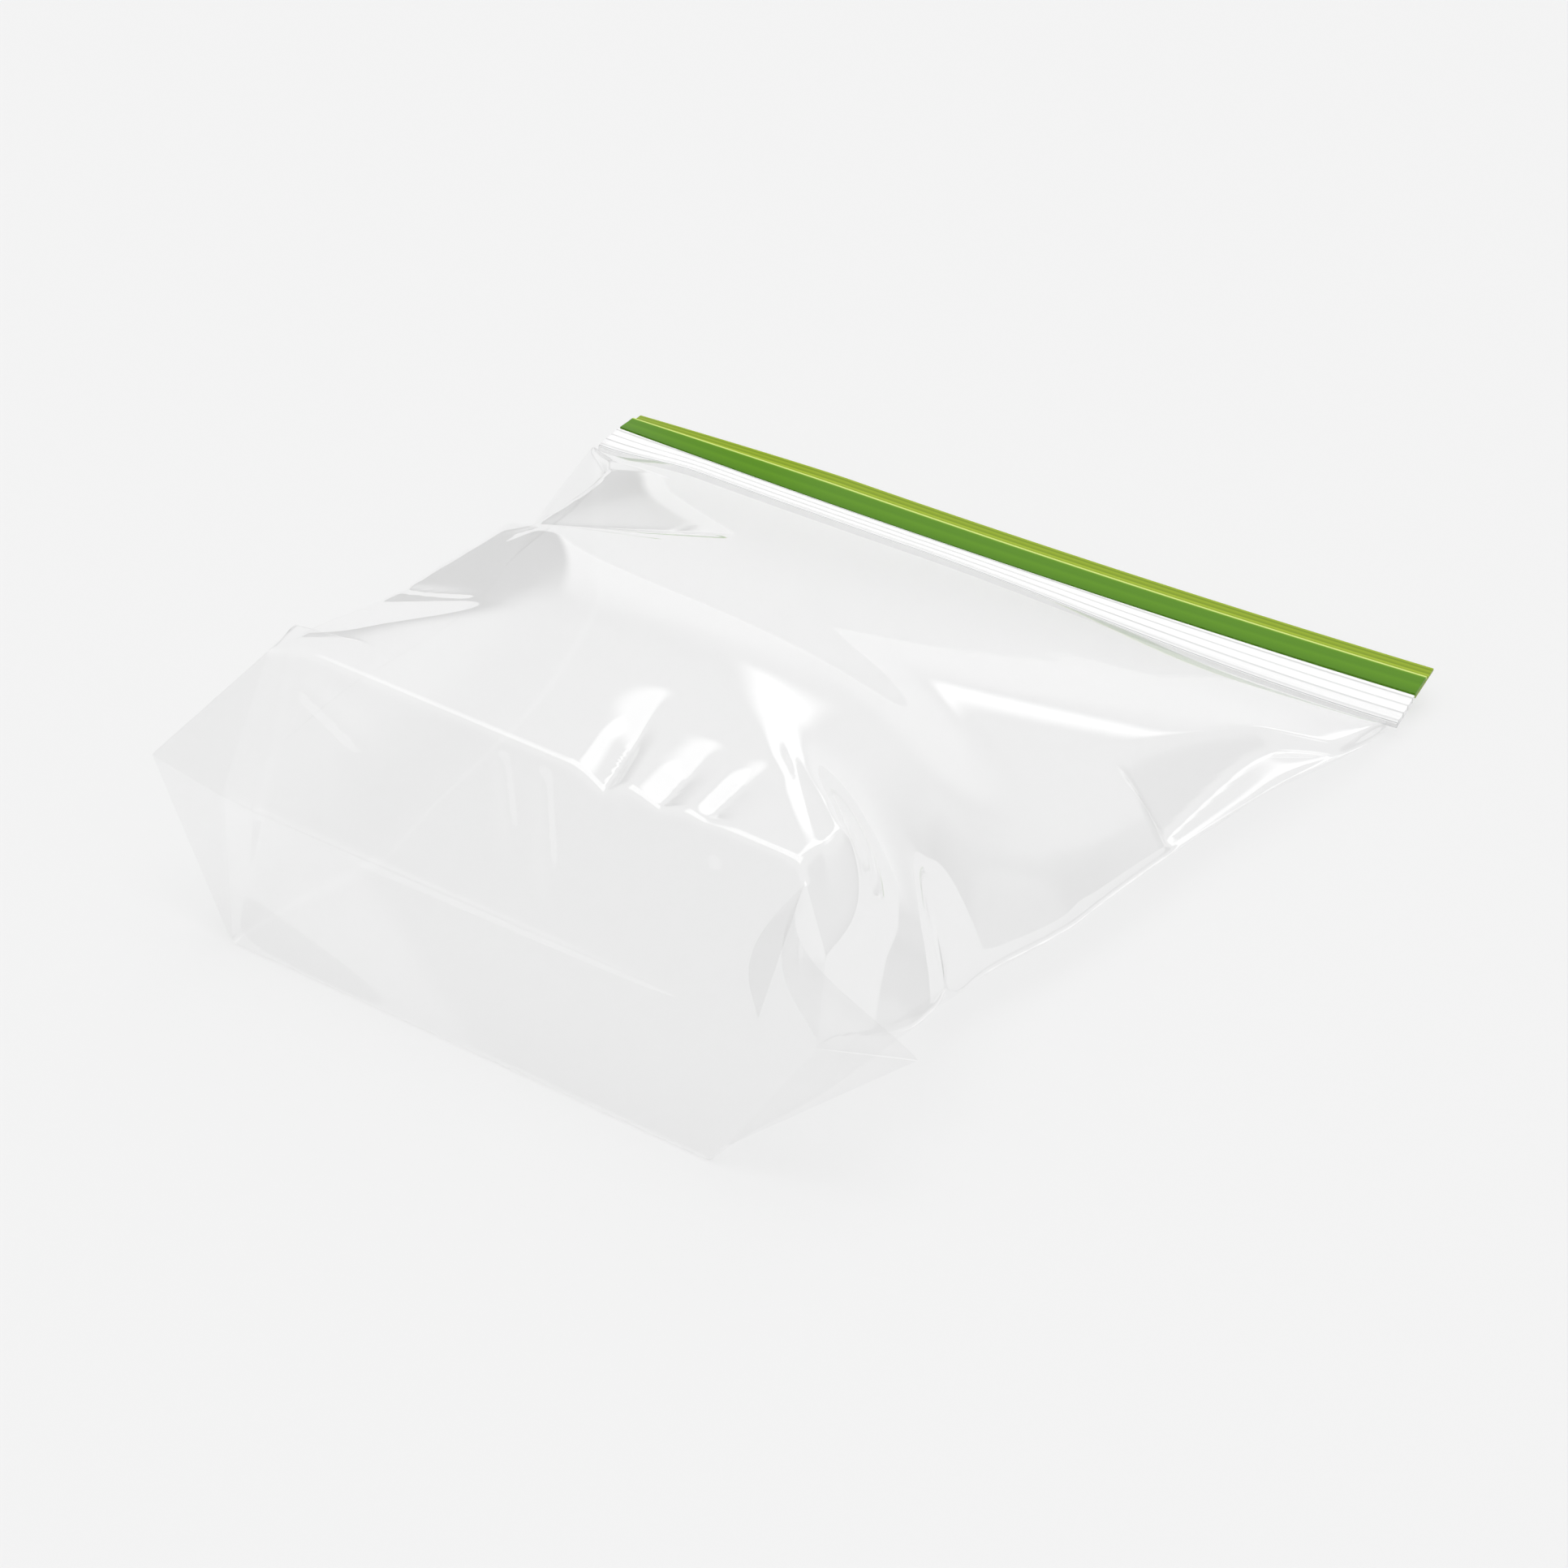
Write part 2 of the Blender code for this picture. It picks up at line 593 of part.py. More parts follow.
clear_scene()
bag = bpy.data.collections.new("freezer_bag")
bpy.context.scene.collection.children.link(bag)
make_body(bag)
make_flange(bag)
half_pair = (LIP_THICK + GAP) / 2
make_lip("lip_front", FRONT_LIP_WIDTH, half_pair, math.radians(FRONT_LIP_CURL),
         make_material("deep_green_film", DEEP_GREEN, 0.25), bag)
make_lip("lip_back", BACK_LIP_WIDTH, -half_pair, math.radians(BACK_LIP_CURL),
         make_material("light_green_film", LIGHT_GREEN, 0.25), bag)
settle(list(bag.objects))
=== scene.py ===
# %% [markdown]
# # A press-shut freezer bag, full of air, lying on its back
# The bag is the simplest pack there is: one clear film tube, welded down both sides and
# closed at the far edge by a zip.  Its bottom was squared out by hand, so the flat corners
# stand off as two triangular ears.  We give the film its real fold pattern: every vertex of
# a flat grid knows where it lies on the flat film, and a few named sizes say where that
# place goes once the bag is full.

import math

import bmesh
import bpy
import numpy as np
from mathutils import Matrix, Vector


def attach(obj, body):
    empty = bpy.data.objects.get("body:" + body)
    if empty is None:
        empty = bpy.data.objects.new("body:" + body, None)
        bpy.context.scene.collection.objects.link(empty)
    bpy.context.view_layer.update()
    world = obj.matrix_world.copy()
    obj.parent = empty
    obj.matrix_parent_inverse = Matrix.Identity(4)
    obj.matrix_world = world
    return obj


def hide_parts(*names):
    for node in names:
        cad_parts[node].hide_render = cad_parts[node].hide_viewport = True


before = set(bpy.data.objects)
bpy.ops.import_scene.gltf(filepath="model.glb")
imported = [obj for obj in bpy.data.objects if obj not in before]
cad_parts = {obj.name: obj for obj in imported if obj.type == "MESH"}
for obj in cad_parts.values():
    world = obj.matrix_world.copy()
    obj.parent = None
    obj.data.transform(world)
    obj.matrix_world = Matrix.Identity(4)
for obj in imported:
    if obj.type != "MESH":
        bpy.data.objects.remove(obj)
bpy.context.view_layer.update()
bpy.ops.object.select_all(action="DESELECT")
MM = 0.001
print("CAD nodes:", sorted(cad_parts))

# %% [markdown]
# ## Sizes
# All sizes are millimetres, measured from the middle of the bag's bottom edge.  The frame has
# its origin under the middle of the whole bag, so the last step of every shape is one shift.
# Sizes typed into a shape are hard to find again, so each has a name and stands just before
# the place that needs it first.

# %% The squared bottom and its ears
FACE_TOP_LEFT = -94.0         # the bottom face's upper corners
FACE_TOP_RIGHT = 99.0
FACE_TOP_FLAT = 83.0          # half the straight part of that edge ...
CORNER_DROP = 0.30            # ... and how steeply it falls past that
FACE_LOW_LEFT = -85.0         # where its bottom edge ends on the table, at each side
FACE_LOW_RIGHT = 81.0
FACE_HEIGHT = 80.0
FACE_LEAN = 0.45              # how far the face leans back for each mm it rises
FACE_SETBACK = 2.0            # the bottom edge is tucked in by this much ...
FACE_TURN = 0.018             # ... and less by this for each mm along X
FOLD_HEIGHT = 36.0            # the bottom fold of the flat bag crosses the face here
EAR_LENGTH = 43.0             # film from the box corner to the ear tip
EAR_TIP_LEFT = (-124.4, 20.5, 39.1)
EAR_TIP_RIGHT = (130.5, 25.0, 41.0)
EAR_BOW_RIGHT = (-13.0, -2.0, -3.0)   # the right ear's upper edge is pulled in
EAR_SEAM_LEFT = -99.0         # the weld at the base of each ear, on its rear layer
EAR_SEAM_RIGHT = 104.0
# the whole bag's middle, seen from the middle of its bottom edge
ORIGIN_SHIFT = np.array([0.127, -151.307, 0.0])
WIDTH_FLAT = FACE_TOP_RIGHT - FACE_TOP_LEFT + 2 * EAR_LENGTH
print("one sheet of film is", WIDTH_FLAT, "mm wide when flat")

# %% Soft steps and soft ridges
def ease(start, end, value):
    """0 before start, 1 after end, and a smooth step between."""
    t = np.clip((np.asarray(value, float) - start) / (end - start), 0.0, 1.0)
    return t * t * (3.0 - 2.0 * t)


def lowest(heights, softness):
    """The lowest of several surfaces, with the ridges between them rounded."""
    stack = np.array(np.broadcast_arrays(*heights))
    base = stack.min(axis=0)
    total = np.exp(-(stack - base) / softness).sum(axis=0)
    return base - softness * np.log(total)


def highest(heights, softness):
    """The highest of several surfaces, with the valleys between them rounded."""
    return -lowest([-np.asarray(h, float) for h in heights], softness)


print("two surfaces at 10 mm meet at", round(float(lowest([10.0, 10.0], 0.5)), 2), "mm")

# %% [markdown]
# ## The form of the full bag
# A full bag is a soft polyhedron.  It could be blown up by a cloth simulation, but that gives
# another bag each time, so we say its form outright.  The film over the air is as low as the
# lowest of a few sloping planes, and the ridges between the planes are rounded.  Near the
# bottom face the stations lean back with it, and near the zip they stand upright.
#
# Below, v is the share of the way from the bottom face (0) to the zip (1).  Each ease() names
# the stretch of the bag over which one form fades in or out.

# %% The line of the zip
ZIP_HALF = 134.0              # half the length of the zip
ZIP_SKEW = 0.112              # the zip runs back this much for each mm along X
ZIP_MID_HEIGHT = 13.2         # height of the lock line at the middle
ZIP_FALL = 0.050              # and how much it falls for each mm along X
LOCK_DEPTH = 270.0            # the lock line, from the bottom edge, at the middle
LOCK_BOW = 3.2                # and how much farther back it is at its two ends
FLANGE_WIDTH = 13.4
FLANGE_TILT = 17.0            # degrees: the flange climbs to the body, and less at its ends
FLANGE_TURN_RIGHT = 27.0      # what it loses between two places at the right ...
FLANGE_RIGHT_FROM = -25.0
FLANGE_RIGHT_TO = 128.0
FLANGE_TURN_LEFT = 13.0       # ... and from one place on at the left
FLANGE_LEFT_FROM = -98.0
FLANGE_LEFT_REACH = 36.0
FLANGE_THICK = 2.2            # both films and both rails pressed together
GAP = 0.3                     # clear space between neighbouring pieces
FILM_GAP = 2.5 * GAP          # and between the flange and the film


def lock_line(x):
    """Where the zip locks: depth and height at one place along it."""
    y = LOCK_DEPTH + ZIP_SKEW * x + LOCK_BOW * (x / ZIP_HALF) ** 2
    z = ZIP_MID_HEIGHT - ZIP_FALL * x
    return y, z


def flange_tilt(x):
    """How steeply the flange climbs from the lock line, in radians."""
    tilt = FLANGE_TILT - FLANGE_TURN_RIGHT * ease(FLANGE_RIGHT_FROM, FLANGE_RIGHT_TO, x)
    tilt = tilt - FLANGE_TURN_LEFT * ease(0.0, 1.0, (FLANGE_LEFT_FROM - x) / FLANGE_LEFT_REACH)
    return np.radians(tilt)


def body_edge(x):
    """Depth and height of the film's end, just short of the flange."""
    y, z = lock_line(x)
    tilt = flange_tilt(x)
    reach = FLANGE_WIDTH + FILM_GAP
    return y - reach * np.cos(tilt), z + reach * np.sin(tilt)


print("the zip's ends are", round(lock_line(-ZIP_HALF)[1], 1), "and",
      round(lock_line(ZIP_HALF)[1], 1), "mm high")

# %% The two welds
SEAM_LEFT_HEIGHT = 36.0       # height of the weld at the ear, and what it loses behind it
SEAM_LEFT_SINK = 12.0
SEAM_LEFT_BULGE = 8.0         # the bag widens by this much behind the ear ...
SEAM_LEFT_FLARE = 27.0        # ... and by this much towards the zip
SEAM_RIGHT_HEIGHT = 38.0
SEAM_RIGHT_DIP = 8.0          # the right weld sinks beside the ear ...
SEAM_RIGHT_DROP = 19.0        # ... drops close to the table behind it ...
SEAM_RIGHT_LIFT = 2.0         # ... and rises a little again
SEAM_RIGHT_BULGE = 11.0
SEAM_RIGHT_STEP = 9.0
SEAM_RIGHT_FLARE = 21.0


def seam_left(v):
    """The left weld: its place across the bag and its height."""
    x = EAR_SEAM_LEFT - SEAM_LEFT_BULGE * ease(0.0, 0.35, v)
    x = x - SEAM_LEFT_FLARE * ease(0.5, 1.15, v) / ease(0.5, 1.15, 1.0)
    end = float(body_edge(-ZIP_HALF)[1])
    low = SEAM_LEFT_HEIGHT - SEAM_LEFT_SINK
    z = SEAM_LEFT_HEIGHT - SEAM_LEFT_SINK * ease(0.0, 0.7, v) + (end - low) * ease(0.6, 1.0, v)
    return x, z


def seam_right(v):
    """The right weld, which bulges behind the ear and then drops."""
    x = EAR_SEAM_RIGHT + SEAM_RIGHT_BULGE * (ease(0.0, 0.16, v) - ease(0.18, 0.30, v))
    x = x + SEAM_RIGHT_STEP * ease(0.34, 0.50, v) + SEAM_RIGHT_FLARE * ease(0.45, 1.0, v)
    end = float(body_edge(ZIP_HALF)[1])
    z = SEAM_RIGHT_HEIGHT - SEAM_RIGHT_DIP * ease(0.0, 0.15, v)
    z = z - SEAM_RIGHT_DROP * ease(0.2, 0.34, v) + SEAM_RIGHT_LIFT * ease(0.5, 0.8, v)
    low = SEAM_RIGHT_HEIGHT - SEAM_RIGHT_DIP - SEAM_RIGHT_DROP + SEAM_RIGHT_LIFT
    z = z + (end - low) * ease(0.8, 1.0, v)
    return x, z


print("half way along, the welds are", round(float(seam_right(0.5)[0] - seam_left(0.5)[0]), 1),
      "mm apart")

# %% Depth of a place
BODY_LENGTH = 257.0           # from the bottom edge to the zip flange, along the table


def lean(v):
    """How far a station leans back for each mm it rises."""
    return FACE_LEAN * (1.0 - ease(0.0, 0.9, v))


def depth(x, z, v):
    """Distance of a place from the bottom edge, along the table."""
    tuck = (FACE_SETBACK - FACE_TURN * x) * (1.0 - ease(0.0, 0.08, v))
    skew = ZIP_SKEW * ease(0.15, 1.0, v)
    end = body_edge(x)[0] - (BODY_LENGTH + ZIP_SKEW * x)
    return BODY_LENGTH * v + tuck + lean(v) * z + skew * x + end * ease(0.85, 1.0, v)


print("the face's upper edge lies", round(float(depth(0.0, FACE_HEIGHT, 0.0)), 1), "mm back")

# %% Pleats and facets
# pleats of the upper film: start, end, half width on the left and right hand, depth
PLEATS = (
    ((23.0, 34.0), (13.0, 76.0), 12.0, 7.0, 3.6),
    ((40.0, 38.0), (37.0, 66.0), 12.0, 8.0, 2.4),
    ((54.0, 42.0), (53.0, 70.0), 7.0, 9.0, 1.6),
    ((54.0, 78.0), (94.0, 38.0), 6.0, 6.0, 1.2),
    ((-80.0, 141.0), (-50.0, 182.0), 1.6, 2.6, 0.5),
    ((-80.0, 142.0), (-66.0, 210.0), 1.6, 2.6, 0.5),
    ((-96.0, 96.0), (-62.0, 92.0), 4.0, 3.0, 0.8),
)
# facets of the upper film: a place on each, its height there, slope across and along
FACETS = {
    "shoulder": ((-88.0, 110.0), 66.5, 0.34, -0.08),
    "step": ((-86.0, 148.0), 62.0, 0.347, -0.60),
    "corner": ((-102.0, 234.0), 30.0, 0.26, -0.125),
    "corner_rise": ((-90.0, 219.0), 35.0, 0.139, -0.058),
    "pull": ((98.0, 200.0), 33.5, -1.30, 0.06),
}


def pleat_depth(x, y):
    """How much the pleats take off the upper film's height."""
    drop = np.zeros_like(x)
    for start, end, left, right, deep in PLEATS:
        along = np.array(end) - np.array(start)
        length = math.hypot(along[0], along[1])
        along = along / length
        run = (x - start[0]) * along[0] + (y - start[1]) * along[1]
        aside = (y - start[1]) * along[0] - (x - start[0]) * along[1]
        off = np.where(aside > 0.0, aside / left, -aside / right)
        cross = np.clip(1.0 - off, 0.0, 1.0) ** 1.5
        fade = ease(-0.25, 0.1, run / length) * (1.0 - ease(0.45, 1.1, run / length))
        drop = drop + deep * cross * fade
    return drop


def facet(name, x, v):
    """Height of one flat facet, whose slopes hold across the bag and along it."""
    (at_x, at_y), level, across, along = FACETS[name]
    y = depth(x, 0.0, v)
    return (level + across * (x - at_x) + along * (y - at_y)) / (1.0 - along * lean(v))


def left_facets(x, v):
    """The shoulder sags to a facet, and steps down to a second one by the zip's end."""
    near_zip = lowest([facet("corner", x, v), facet("corner_rise", x, v)], 0.5)
    behind = highest([facet("step", x, v), near_zip], 0.7)
    return lowest([facet("shoulder", x, v), behind], 0.8)


print("upper film:", len(PLEATS), "pleats and", len(FACETS), "facets")

# %% Walls and side panel
APPROACH_SLOPE = 0.40         # rise of the upper film away from the zip
APPROACH_TURN = 0.10          # it turns down by this slope beyond this place at the right
APPROACH_TURN_AT = 90.0
APPROACH_TURN_EASE = 8.0
LEFT_WALL_SLOPE = 8.0         # the left wall is nearly upright at the face, ...
LEFT_WALL_EASING = 5.8        # ... lies back by this much behind it ...
LEFT_WALL_RETURN = 0.8        # ... and comes up a little again
LEFT_HEM_WIDTH = 11.0         # flat hem beside the left weld, near the zip
LEFT_HEM_SLOPE = 0.1
PANEL_SLOPE = 0.53            # the side panel: its slope near the zip, ...
PANEL_MIDDLE_SLOPE = 0.25     # ... what is added in the front half, ...
PANEL_FRONT_SLOPE = 4.42      # ... and what is added next to the bottom face
PANEL_FRONT_REACH = 0.085
PANEL_FOOT_BULGE = 10.0       # the panel's foot line: out behind the ear, ...
PANEL_FOOT_TUCK = 4.0         # ... in again, ...
PANEL_FOOT_FLARE = 24.0       # ... and out towards the zip
PANEL_FOOT_SINK = 15.0        # it sinks by this much on its way, and by this at the zip
PANEL_FOOT_END_SINK = 6.0


def approach(x, v):
    """The upper film's rise away from the zip."""
    from_zip = BODY_LENGTH * (1.0 - v)
    past = np.log1p(np.exp((x - APPROACH_TURN_AT) / APPROACH_TURN_EASE)) * APPROACH_TURN_EASE
    level = body_edge(x)[1] + FLANGE_THICK / 2
    return level + APPROACH_SLOPE * from_zip - APPROACH_TURN * past * ease(0.0, 30.0, from_zip)


def left_wall(x, v):
    """Wall over the left weld, with a flat hem where it nears the zip."""
    x_left, z_left = seam_left(v)
    slope = LEFT_WALL_SLOPE - LEFT_WALL_EASING * ease(0.0, 0.3, v)
    slope = slope + LEFT_WALL_RETURN * ease(0.5, 0.7, v)
    hem = LEFT_HEM_WIDTH * ease(0.68, 0.92, v) * (1.0 - ease(0.94, 1.0, v))
    inset = x - x_left
    return z_left + LEFT_HEM_SLOPE * inset + slope * np.maximum(0.0, inset - hem)


def panel_foot(v):
    """The line that the side panel would meet the air at, without the weld's own bends."""
    x = EAR_SEAM_RIGHT + PANEL_FOOT_BULGE * ease(0.0, 0.2, v) - PANEL_FOOT_TUCK * ease(0.2, 0.6, v)
    x = x + PANEL_FOOT_FLARE * ease(0.36, 1.0, v)
    z = SEAM_RIGHT_HEIGHT - PANEL_FOOT_SINK * ease(0.0, 0.55, v)
    return x, z - PANEL_FOOT_END_SINK * ease(0.8, 1.0, v)


def right_panel(x, v):
    """The broad side panel, steep behind the ear and lying back towards the zip."""
    x_foot, z_foot = panel_foot(v)
    slope = PANEL_SLOPE + PANEL_MIDDLE_SLOPE * (1.0 - ease(0.38, 0.58, v))
    slope = slope + PANEL_FRONT_SLOPE * math.exp(-(v / PANEL_FRONT_REACH) ** 1.5)
    return z_foot + slope * (x_foot - x)


print("the panel's foot sinks to", round(float(panel_foot(1.0)[1]), 1), "mm at the zip")

# %% The upper film
CREST_HEIGHT = 80.0
CREST_FALL = 5.0              # the crest sinks by this much on its way to the zip
CREST_CROWN = 6.0             # and bulges by this much in the middle
CROWN_MIDDLE = -5.0           # where across the bag, and how wide the bulge is
CROWN_WIDTH = 70.0
RIGHT_WALL_SLOPE = 5.2
RIGHT_WALL_EASING = 2.6
PULL_HEM_SLOPE = 0.05         # the pulled film beside the right weld
CLEAR_OF_ALL = 40.0           # lifts a surface where it takes no part
SHOULDER_START = 4.0          # the left shoulder's facets begin this much higher, at the face
# how round the ridges between the planes are, and how that changes along the bag
RIDGE_AT_FACE = 0.5
RIDGE_BODY_GAIN = 7.0
RIDGE_ZIP_LOSS = 6.7
FACET_BODY_GAIN = 0.6
FACET_ZIP_LOSS = 0.8


def top_profile(x, v):
    """Height of the upper film over the floor, across one station of the bag."""
    x_left, z_left = seam_left(v)
    x_right, z_right = seam_right(v)
    crown = np.exp(-((x - CROWN_MIDDLE) / CROWN_WIDTH) ** 2)
    crest = CREST_HEIGHT - CREST_FALL * v + CREST_CROWN * ease(0.0, 0.3, v) * crown
    corner = FACE_HEIGHT + CORNER_DROP * (FACE_TOP_FLAT - np.abs(x))
    corner = corner + CLEAR_OF_ALL * ease(0.0, 0.2, v)
    gap = x_right - x
    right_wall = z_right + (RIGHT_WALL_SLOPE - RIGHT_WALL_EASING * ease(0.0, 0.2, v)) * gap
    softness = RIDGE_AT_FACE + RIDGE_BODY_GAIN * ease(0.0, 0.12, v) - RIDGE_ZIP_LOSS * ease(0.8, 1.0, v)
    z = lowest([crest, corner, approach(x, v), right_panel(x, v), right_wall], softness)
    elsewhere = 1.0 - ease(0.60, 0.66, v) + ease(0.86, 0.97, v)
    pull = facet("pull", x, v) + CLEAR_OF_ALL * elsewhere
    pull = highest([pull, z_right + PULL_HEM_SLOPE * gap], 0.4)
    elsewhere = 1.0 - ease(0.0, 0.07, v) + ease(0.94, 1.0, v)
    left = left_facets(x, v) + CLEAR_OF_ALL * elsewhere
    left = left + SHOULDER_START * (1.0 - ease(0.08, 0.24, v))
    softness = RIDGE_AT_FACE + FACET_BODY_GAIN * ease(0.0, 0.12, v) - FACET_ZIP_LOSS * ease(0.9, 1.0, v)
    z = lowest([z, left, left_wall(x, v), pull], softness)
    z = z - pleat_depth(x, depth(x, z, v)) * (1.0 - ease(0.93, 1.0, v))
    inset = np.minimum(x - x_left, gap) / (1.0 + ease(0.0, 0.1, v))
    seam = np.where(x < 0.0, z_left, z_right)
    return seam + (z - seam) * ease(0.0, 1.0, inset)


middle = np.zeros(1)
for name, share in (("near the face", 0.1), ("half way", 0.5), ("near the zip", 0.9)):
    print("height of the film", name + ":", round(float(top_profile(middle, share)[0]), 1), "mm")

# %% The under film
UNDER_WALL_SLOPE = 1.1        # how steeply the under film rises to the welds
UNDER_ZIP_FALL = 120.0        # and how fast it falls to the table away from the zip
RESTING_BELOW = 0.06          # film that hangs lower than this lies on the table
UNDER_BODY_GAIN = 1.5
UNDER_ZIP_LOSS = 1.8


def bottom_profile(x, v):
    """Height of the under film, which lies flat on the table between the rising sides."""
    x_left, z_left = seam_left(v)
    x_right, z_right = seam_right(v)
    flare = ease(0.0, 0.25, v)
    steep_left = z_left / (FACE_LOW_LEFT - EAR_SEAM_LEFT) * (1.0 - flare)
    steep_left = steep_left + UNDER_WALL_SLOPE * flare
    steep_right = z_right / (EAR_SEAM_RIGHT - FACE_LOW_RIGHT) * (1.0 - flare)
    steep_right = steep_right + UNDER_WALL_SLOPE * flare
    left = z_left - steep_left * (x - x_left)
    right = z_right - steep_right * (x_right - x)
    towards_zip = body_edge(x)[1] - FLANGE_THICK / 2 - UNDER_ZIP_FALL * (1.0 - v)
    softness = RIDGE_AT_FACE + UNDER_BODY_GAIN * ease(0.0, 0.12, v) - UNDER_ZIP_LOSS * ease(0.8, 1.0, v)
    z = highest([np.zeros_like(x), left, right, towards_zip], softness)
    return np.where(z < RESTING_BELOW, 0.0, z)


print("the under film is", round(float(bottom_profile(middle, 0.95)[0]), 1), "mm up near the zip")

# %% [markdown]
# ## From the flat film to the full bag
# Film bends but hardly stretches, so a place keeps its distance from its neighbours.  Each
# station is therefore a curve whose points are spread by length of film, not by width.  At
# the bottom the same grid covers the squared face, and a square of film at each corner folds
# along its diagonal into an ear of two layers.  Fine creases of the face are small ridges
# that push the grid in or out by less than a millimetre: without them the face would mirror
# the room like a pane of glass.

# %% The grid of one sheet
# cells of the grid: across an ear, across the face, along the body
EAR_CELLS = 32
FACE_CELLS = 130
BODY_CELLS = 190
STATION_STEPS = 1500          # places at which a station's length of film is measured


def station(v, profile, shares):
    """Points of one film along one station, spread by length of film."""
    x = np.linspace(float(seam_left(v)[0]), float(seam_right(v)[0]), STATION_STEPS)
    z = profile(x, v)
    length = np.concatenate([[0.0], np.cumsum(np.hypot(np.diff(x), np.diff(z)))])
    xs = np.interp(shares * length[-1], length, x)
    zs = np.interp(shares * length[-1], length, z)
    return np.stack([xs, depth(xs, zs, v), zs], axis=1)


def graded(cells, fine=0.55):
    """Shares from 0 to 1 with the cells closer together at both ends."""
    t = np.linspace(0.0, 1.0, cells + 1)
    return t - fine * np.sin(2.0 * np.pi * t) / (2.0 * np.pi)


def film_shares():
    """Where the grid's columns lie on the flat film, as shares of its width."""
    width = FACE_TOP_RIGHT - FACE_TOP_LEFT
    whole = width + 2.0 * EAR_LENGTH
    ear = EAR_LENGTH * graded(EAR_CELLS)
    face = EAR_LENGTH + width * np.linspace(0.0, 1.0, FACE_CELLS + 1)
    return np.concatenate([ear[:-1], face, EAR_LENGTH + width + ear[1:]]) / whole


print("one sheet's grid:", len(film_shares()), "places across,", EAR_CELLS + BODY_CELLS + 1, "along")

# %% Fold the bottom

def ear_point(p, q, tip, corner, fold, weld):
    """Front layer of an ear where p is past q, rear layer where q is past p."""
    if p >= q:
        return tip + (p - q) * (fold - tip) + q * (corner - tip)
    return tip + (q - p) * (weld - tip) + p * (corner - tip)


def ear_bow(p, q):
    """How far a place of the ear follows the pull on its upper edge."""
    along = (p + q) / 2.0
    if along == 0.0:
        return 0.0
    return math.sin(math.pi * along ** 1.3) * (p * q / along ** 2) ** 2


def bottom_rows(side, first_row):
    """Rows of the grid that cover the bottom face and the ears, up to the body's first row."""
    fold_y = FACE_SETBACK + FACE_LEAN * FOLD_HEIGHT - 1.0
    fold_left = np.array([FACE_LOW_LEFT - 1.0, fold_y, FOLD_HEIGHT])
    fold_right = np.array([FACE_LOW_RIGHT + 3.0, fold_y, FOLD_HEIGHT])
    tips = (np.array(EAR_TIP_LEFT), np.array(EAR_TIP_RIGHT))
    last = len(first_row) - 1
    steps = graded(EAR_CELLS)
    rows = []
    for q in steps[:-1]:
        points = []
        for column in range(last + 1):
            inset = min(column, last - column)
            if inset < EAR_CELLS:
                left = column < EAR_CELLS
                p = steps[inset]
                point = ear_point(p, q, tips[0 if left else 1],
                                  first_row[EAR_CELLS if left else last - EAR_CELLS],
                                  fold_left if left else fold_right,
                                  first_row[0 if left else last])
                if side > 0 and not left:
                    point = point + ear_bow(p, q) * np.array(EAR_BOW_RIGHT)
            else:
                fold = fold_left + (column - EAR_CELLS) / FACE_CELLS * (fold_right - fold_left)
                point = fold + q * (first_row[column] - fold)
            points.append(point)
        rows.append(points)
    return np.array(rows)


print("each ear folds", EAR_CELLS * EAR_CELLS, "cells of either sheet")

# %% Round the folds and crease the face
FOLD_ROUND_UPPER = 2.6        # the fold at the face's upper edge is rounded this far each way,
FOLD_ROUND_UNDER = 1.0        # and the one at its lower edge this far
# creases of the bottom face: start and end as (x, height), half width, height of the crease
FACE_CREASES = (
    ((-90.0, 37.0), (62.0, 36.0), 1.4, 0.55),
    ((-86.5, 79.0), (-84.0, 2.0), 1.8, 0.80),
    ((-12.0, 74.0), (-1.0, 52.0), 4.0, -0.9),
    ((2.0, 74.0), (14.0, 44.0), 5.0, -0.9),
    ((26.0, 76.0), (22.0, 48.0), 6.0, 0.7),
    ((-80.0, 72.0), (-48.0, 62.0), 7.0, 0.9),
    ((-80.0, 14.0), (-30.0, 4.0), 12.0, -0.9),
    ((60.0, 70.0), (52.0, 40.0), 6.0, -0.6),
)


def roll_edge(grid, leg):
    """Round the fold between bottom rows and body rows, leg mm to each side of it."""
    columns = range(EAR_CELLS, EAR_CELLS + FACE_CELLS + 1)
    for column in columns:
        line = grid[:, column]
        step = np.linalg.norm(np.diff(line, axis=0), axis=1)
        run = np.concatenate([[0.0], np.cumsum(step)])
        run = run - run[EAR_CELLS]
        before = np.array([np.interp(-leg, run, line[:, k]) for k in range(3)])
        after = np.array([np.interp(leg, run, line[:, k]) for k in range(3)])
        corner = line[EAR_CELLS].copy()
        for row in np.nonzero(np.abs(run) < leg)[0]:
            t = (run[row] + leg) / (2.0 * leg)
            line[row] = (1 - t) ** 2 * before + 2 * t * (1 - t) * corner + t * t * after
    return grid


def face_relief(x, z):
    """Small creases of the bottom face, as mm pushed out of it (in, where negative)."""
    relief = np.zeros_like(x)
    for start, end, half, high in FACE_CREASES:
        along = np.array(end) - np.array(start)
        length = math.hypot(along[0], along[1])
        along = along / length
        run = (x - start[0]) * along[0] + (z - start[1]) * along[1]
        aside = (x - start[0]) * along[1] - (z - start[1]) * along[0]
        cross = np.clip(1.0 - np.abs(aside) / half, 0.0, 1.0) ** 1.5
        fade = ease(-0.12, 0.06, run / length) * (1.0 - ease(0.6, 1.1, run / length))
        relief = relief + high * cross * fade
    return relief


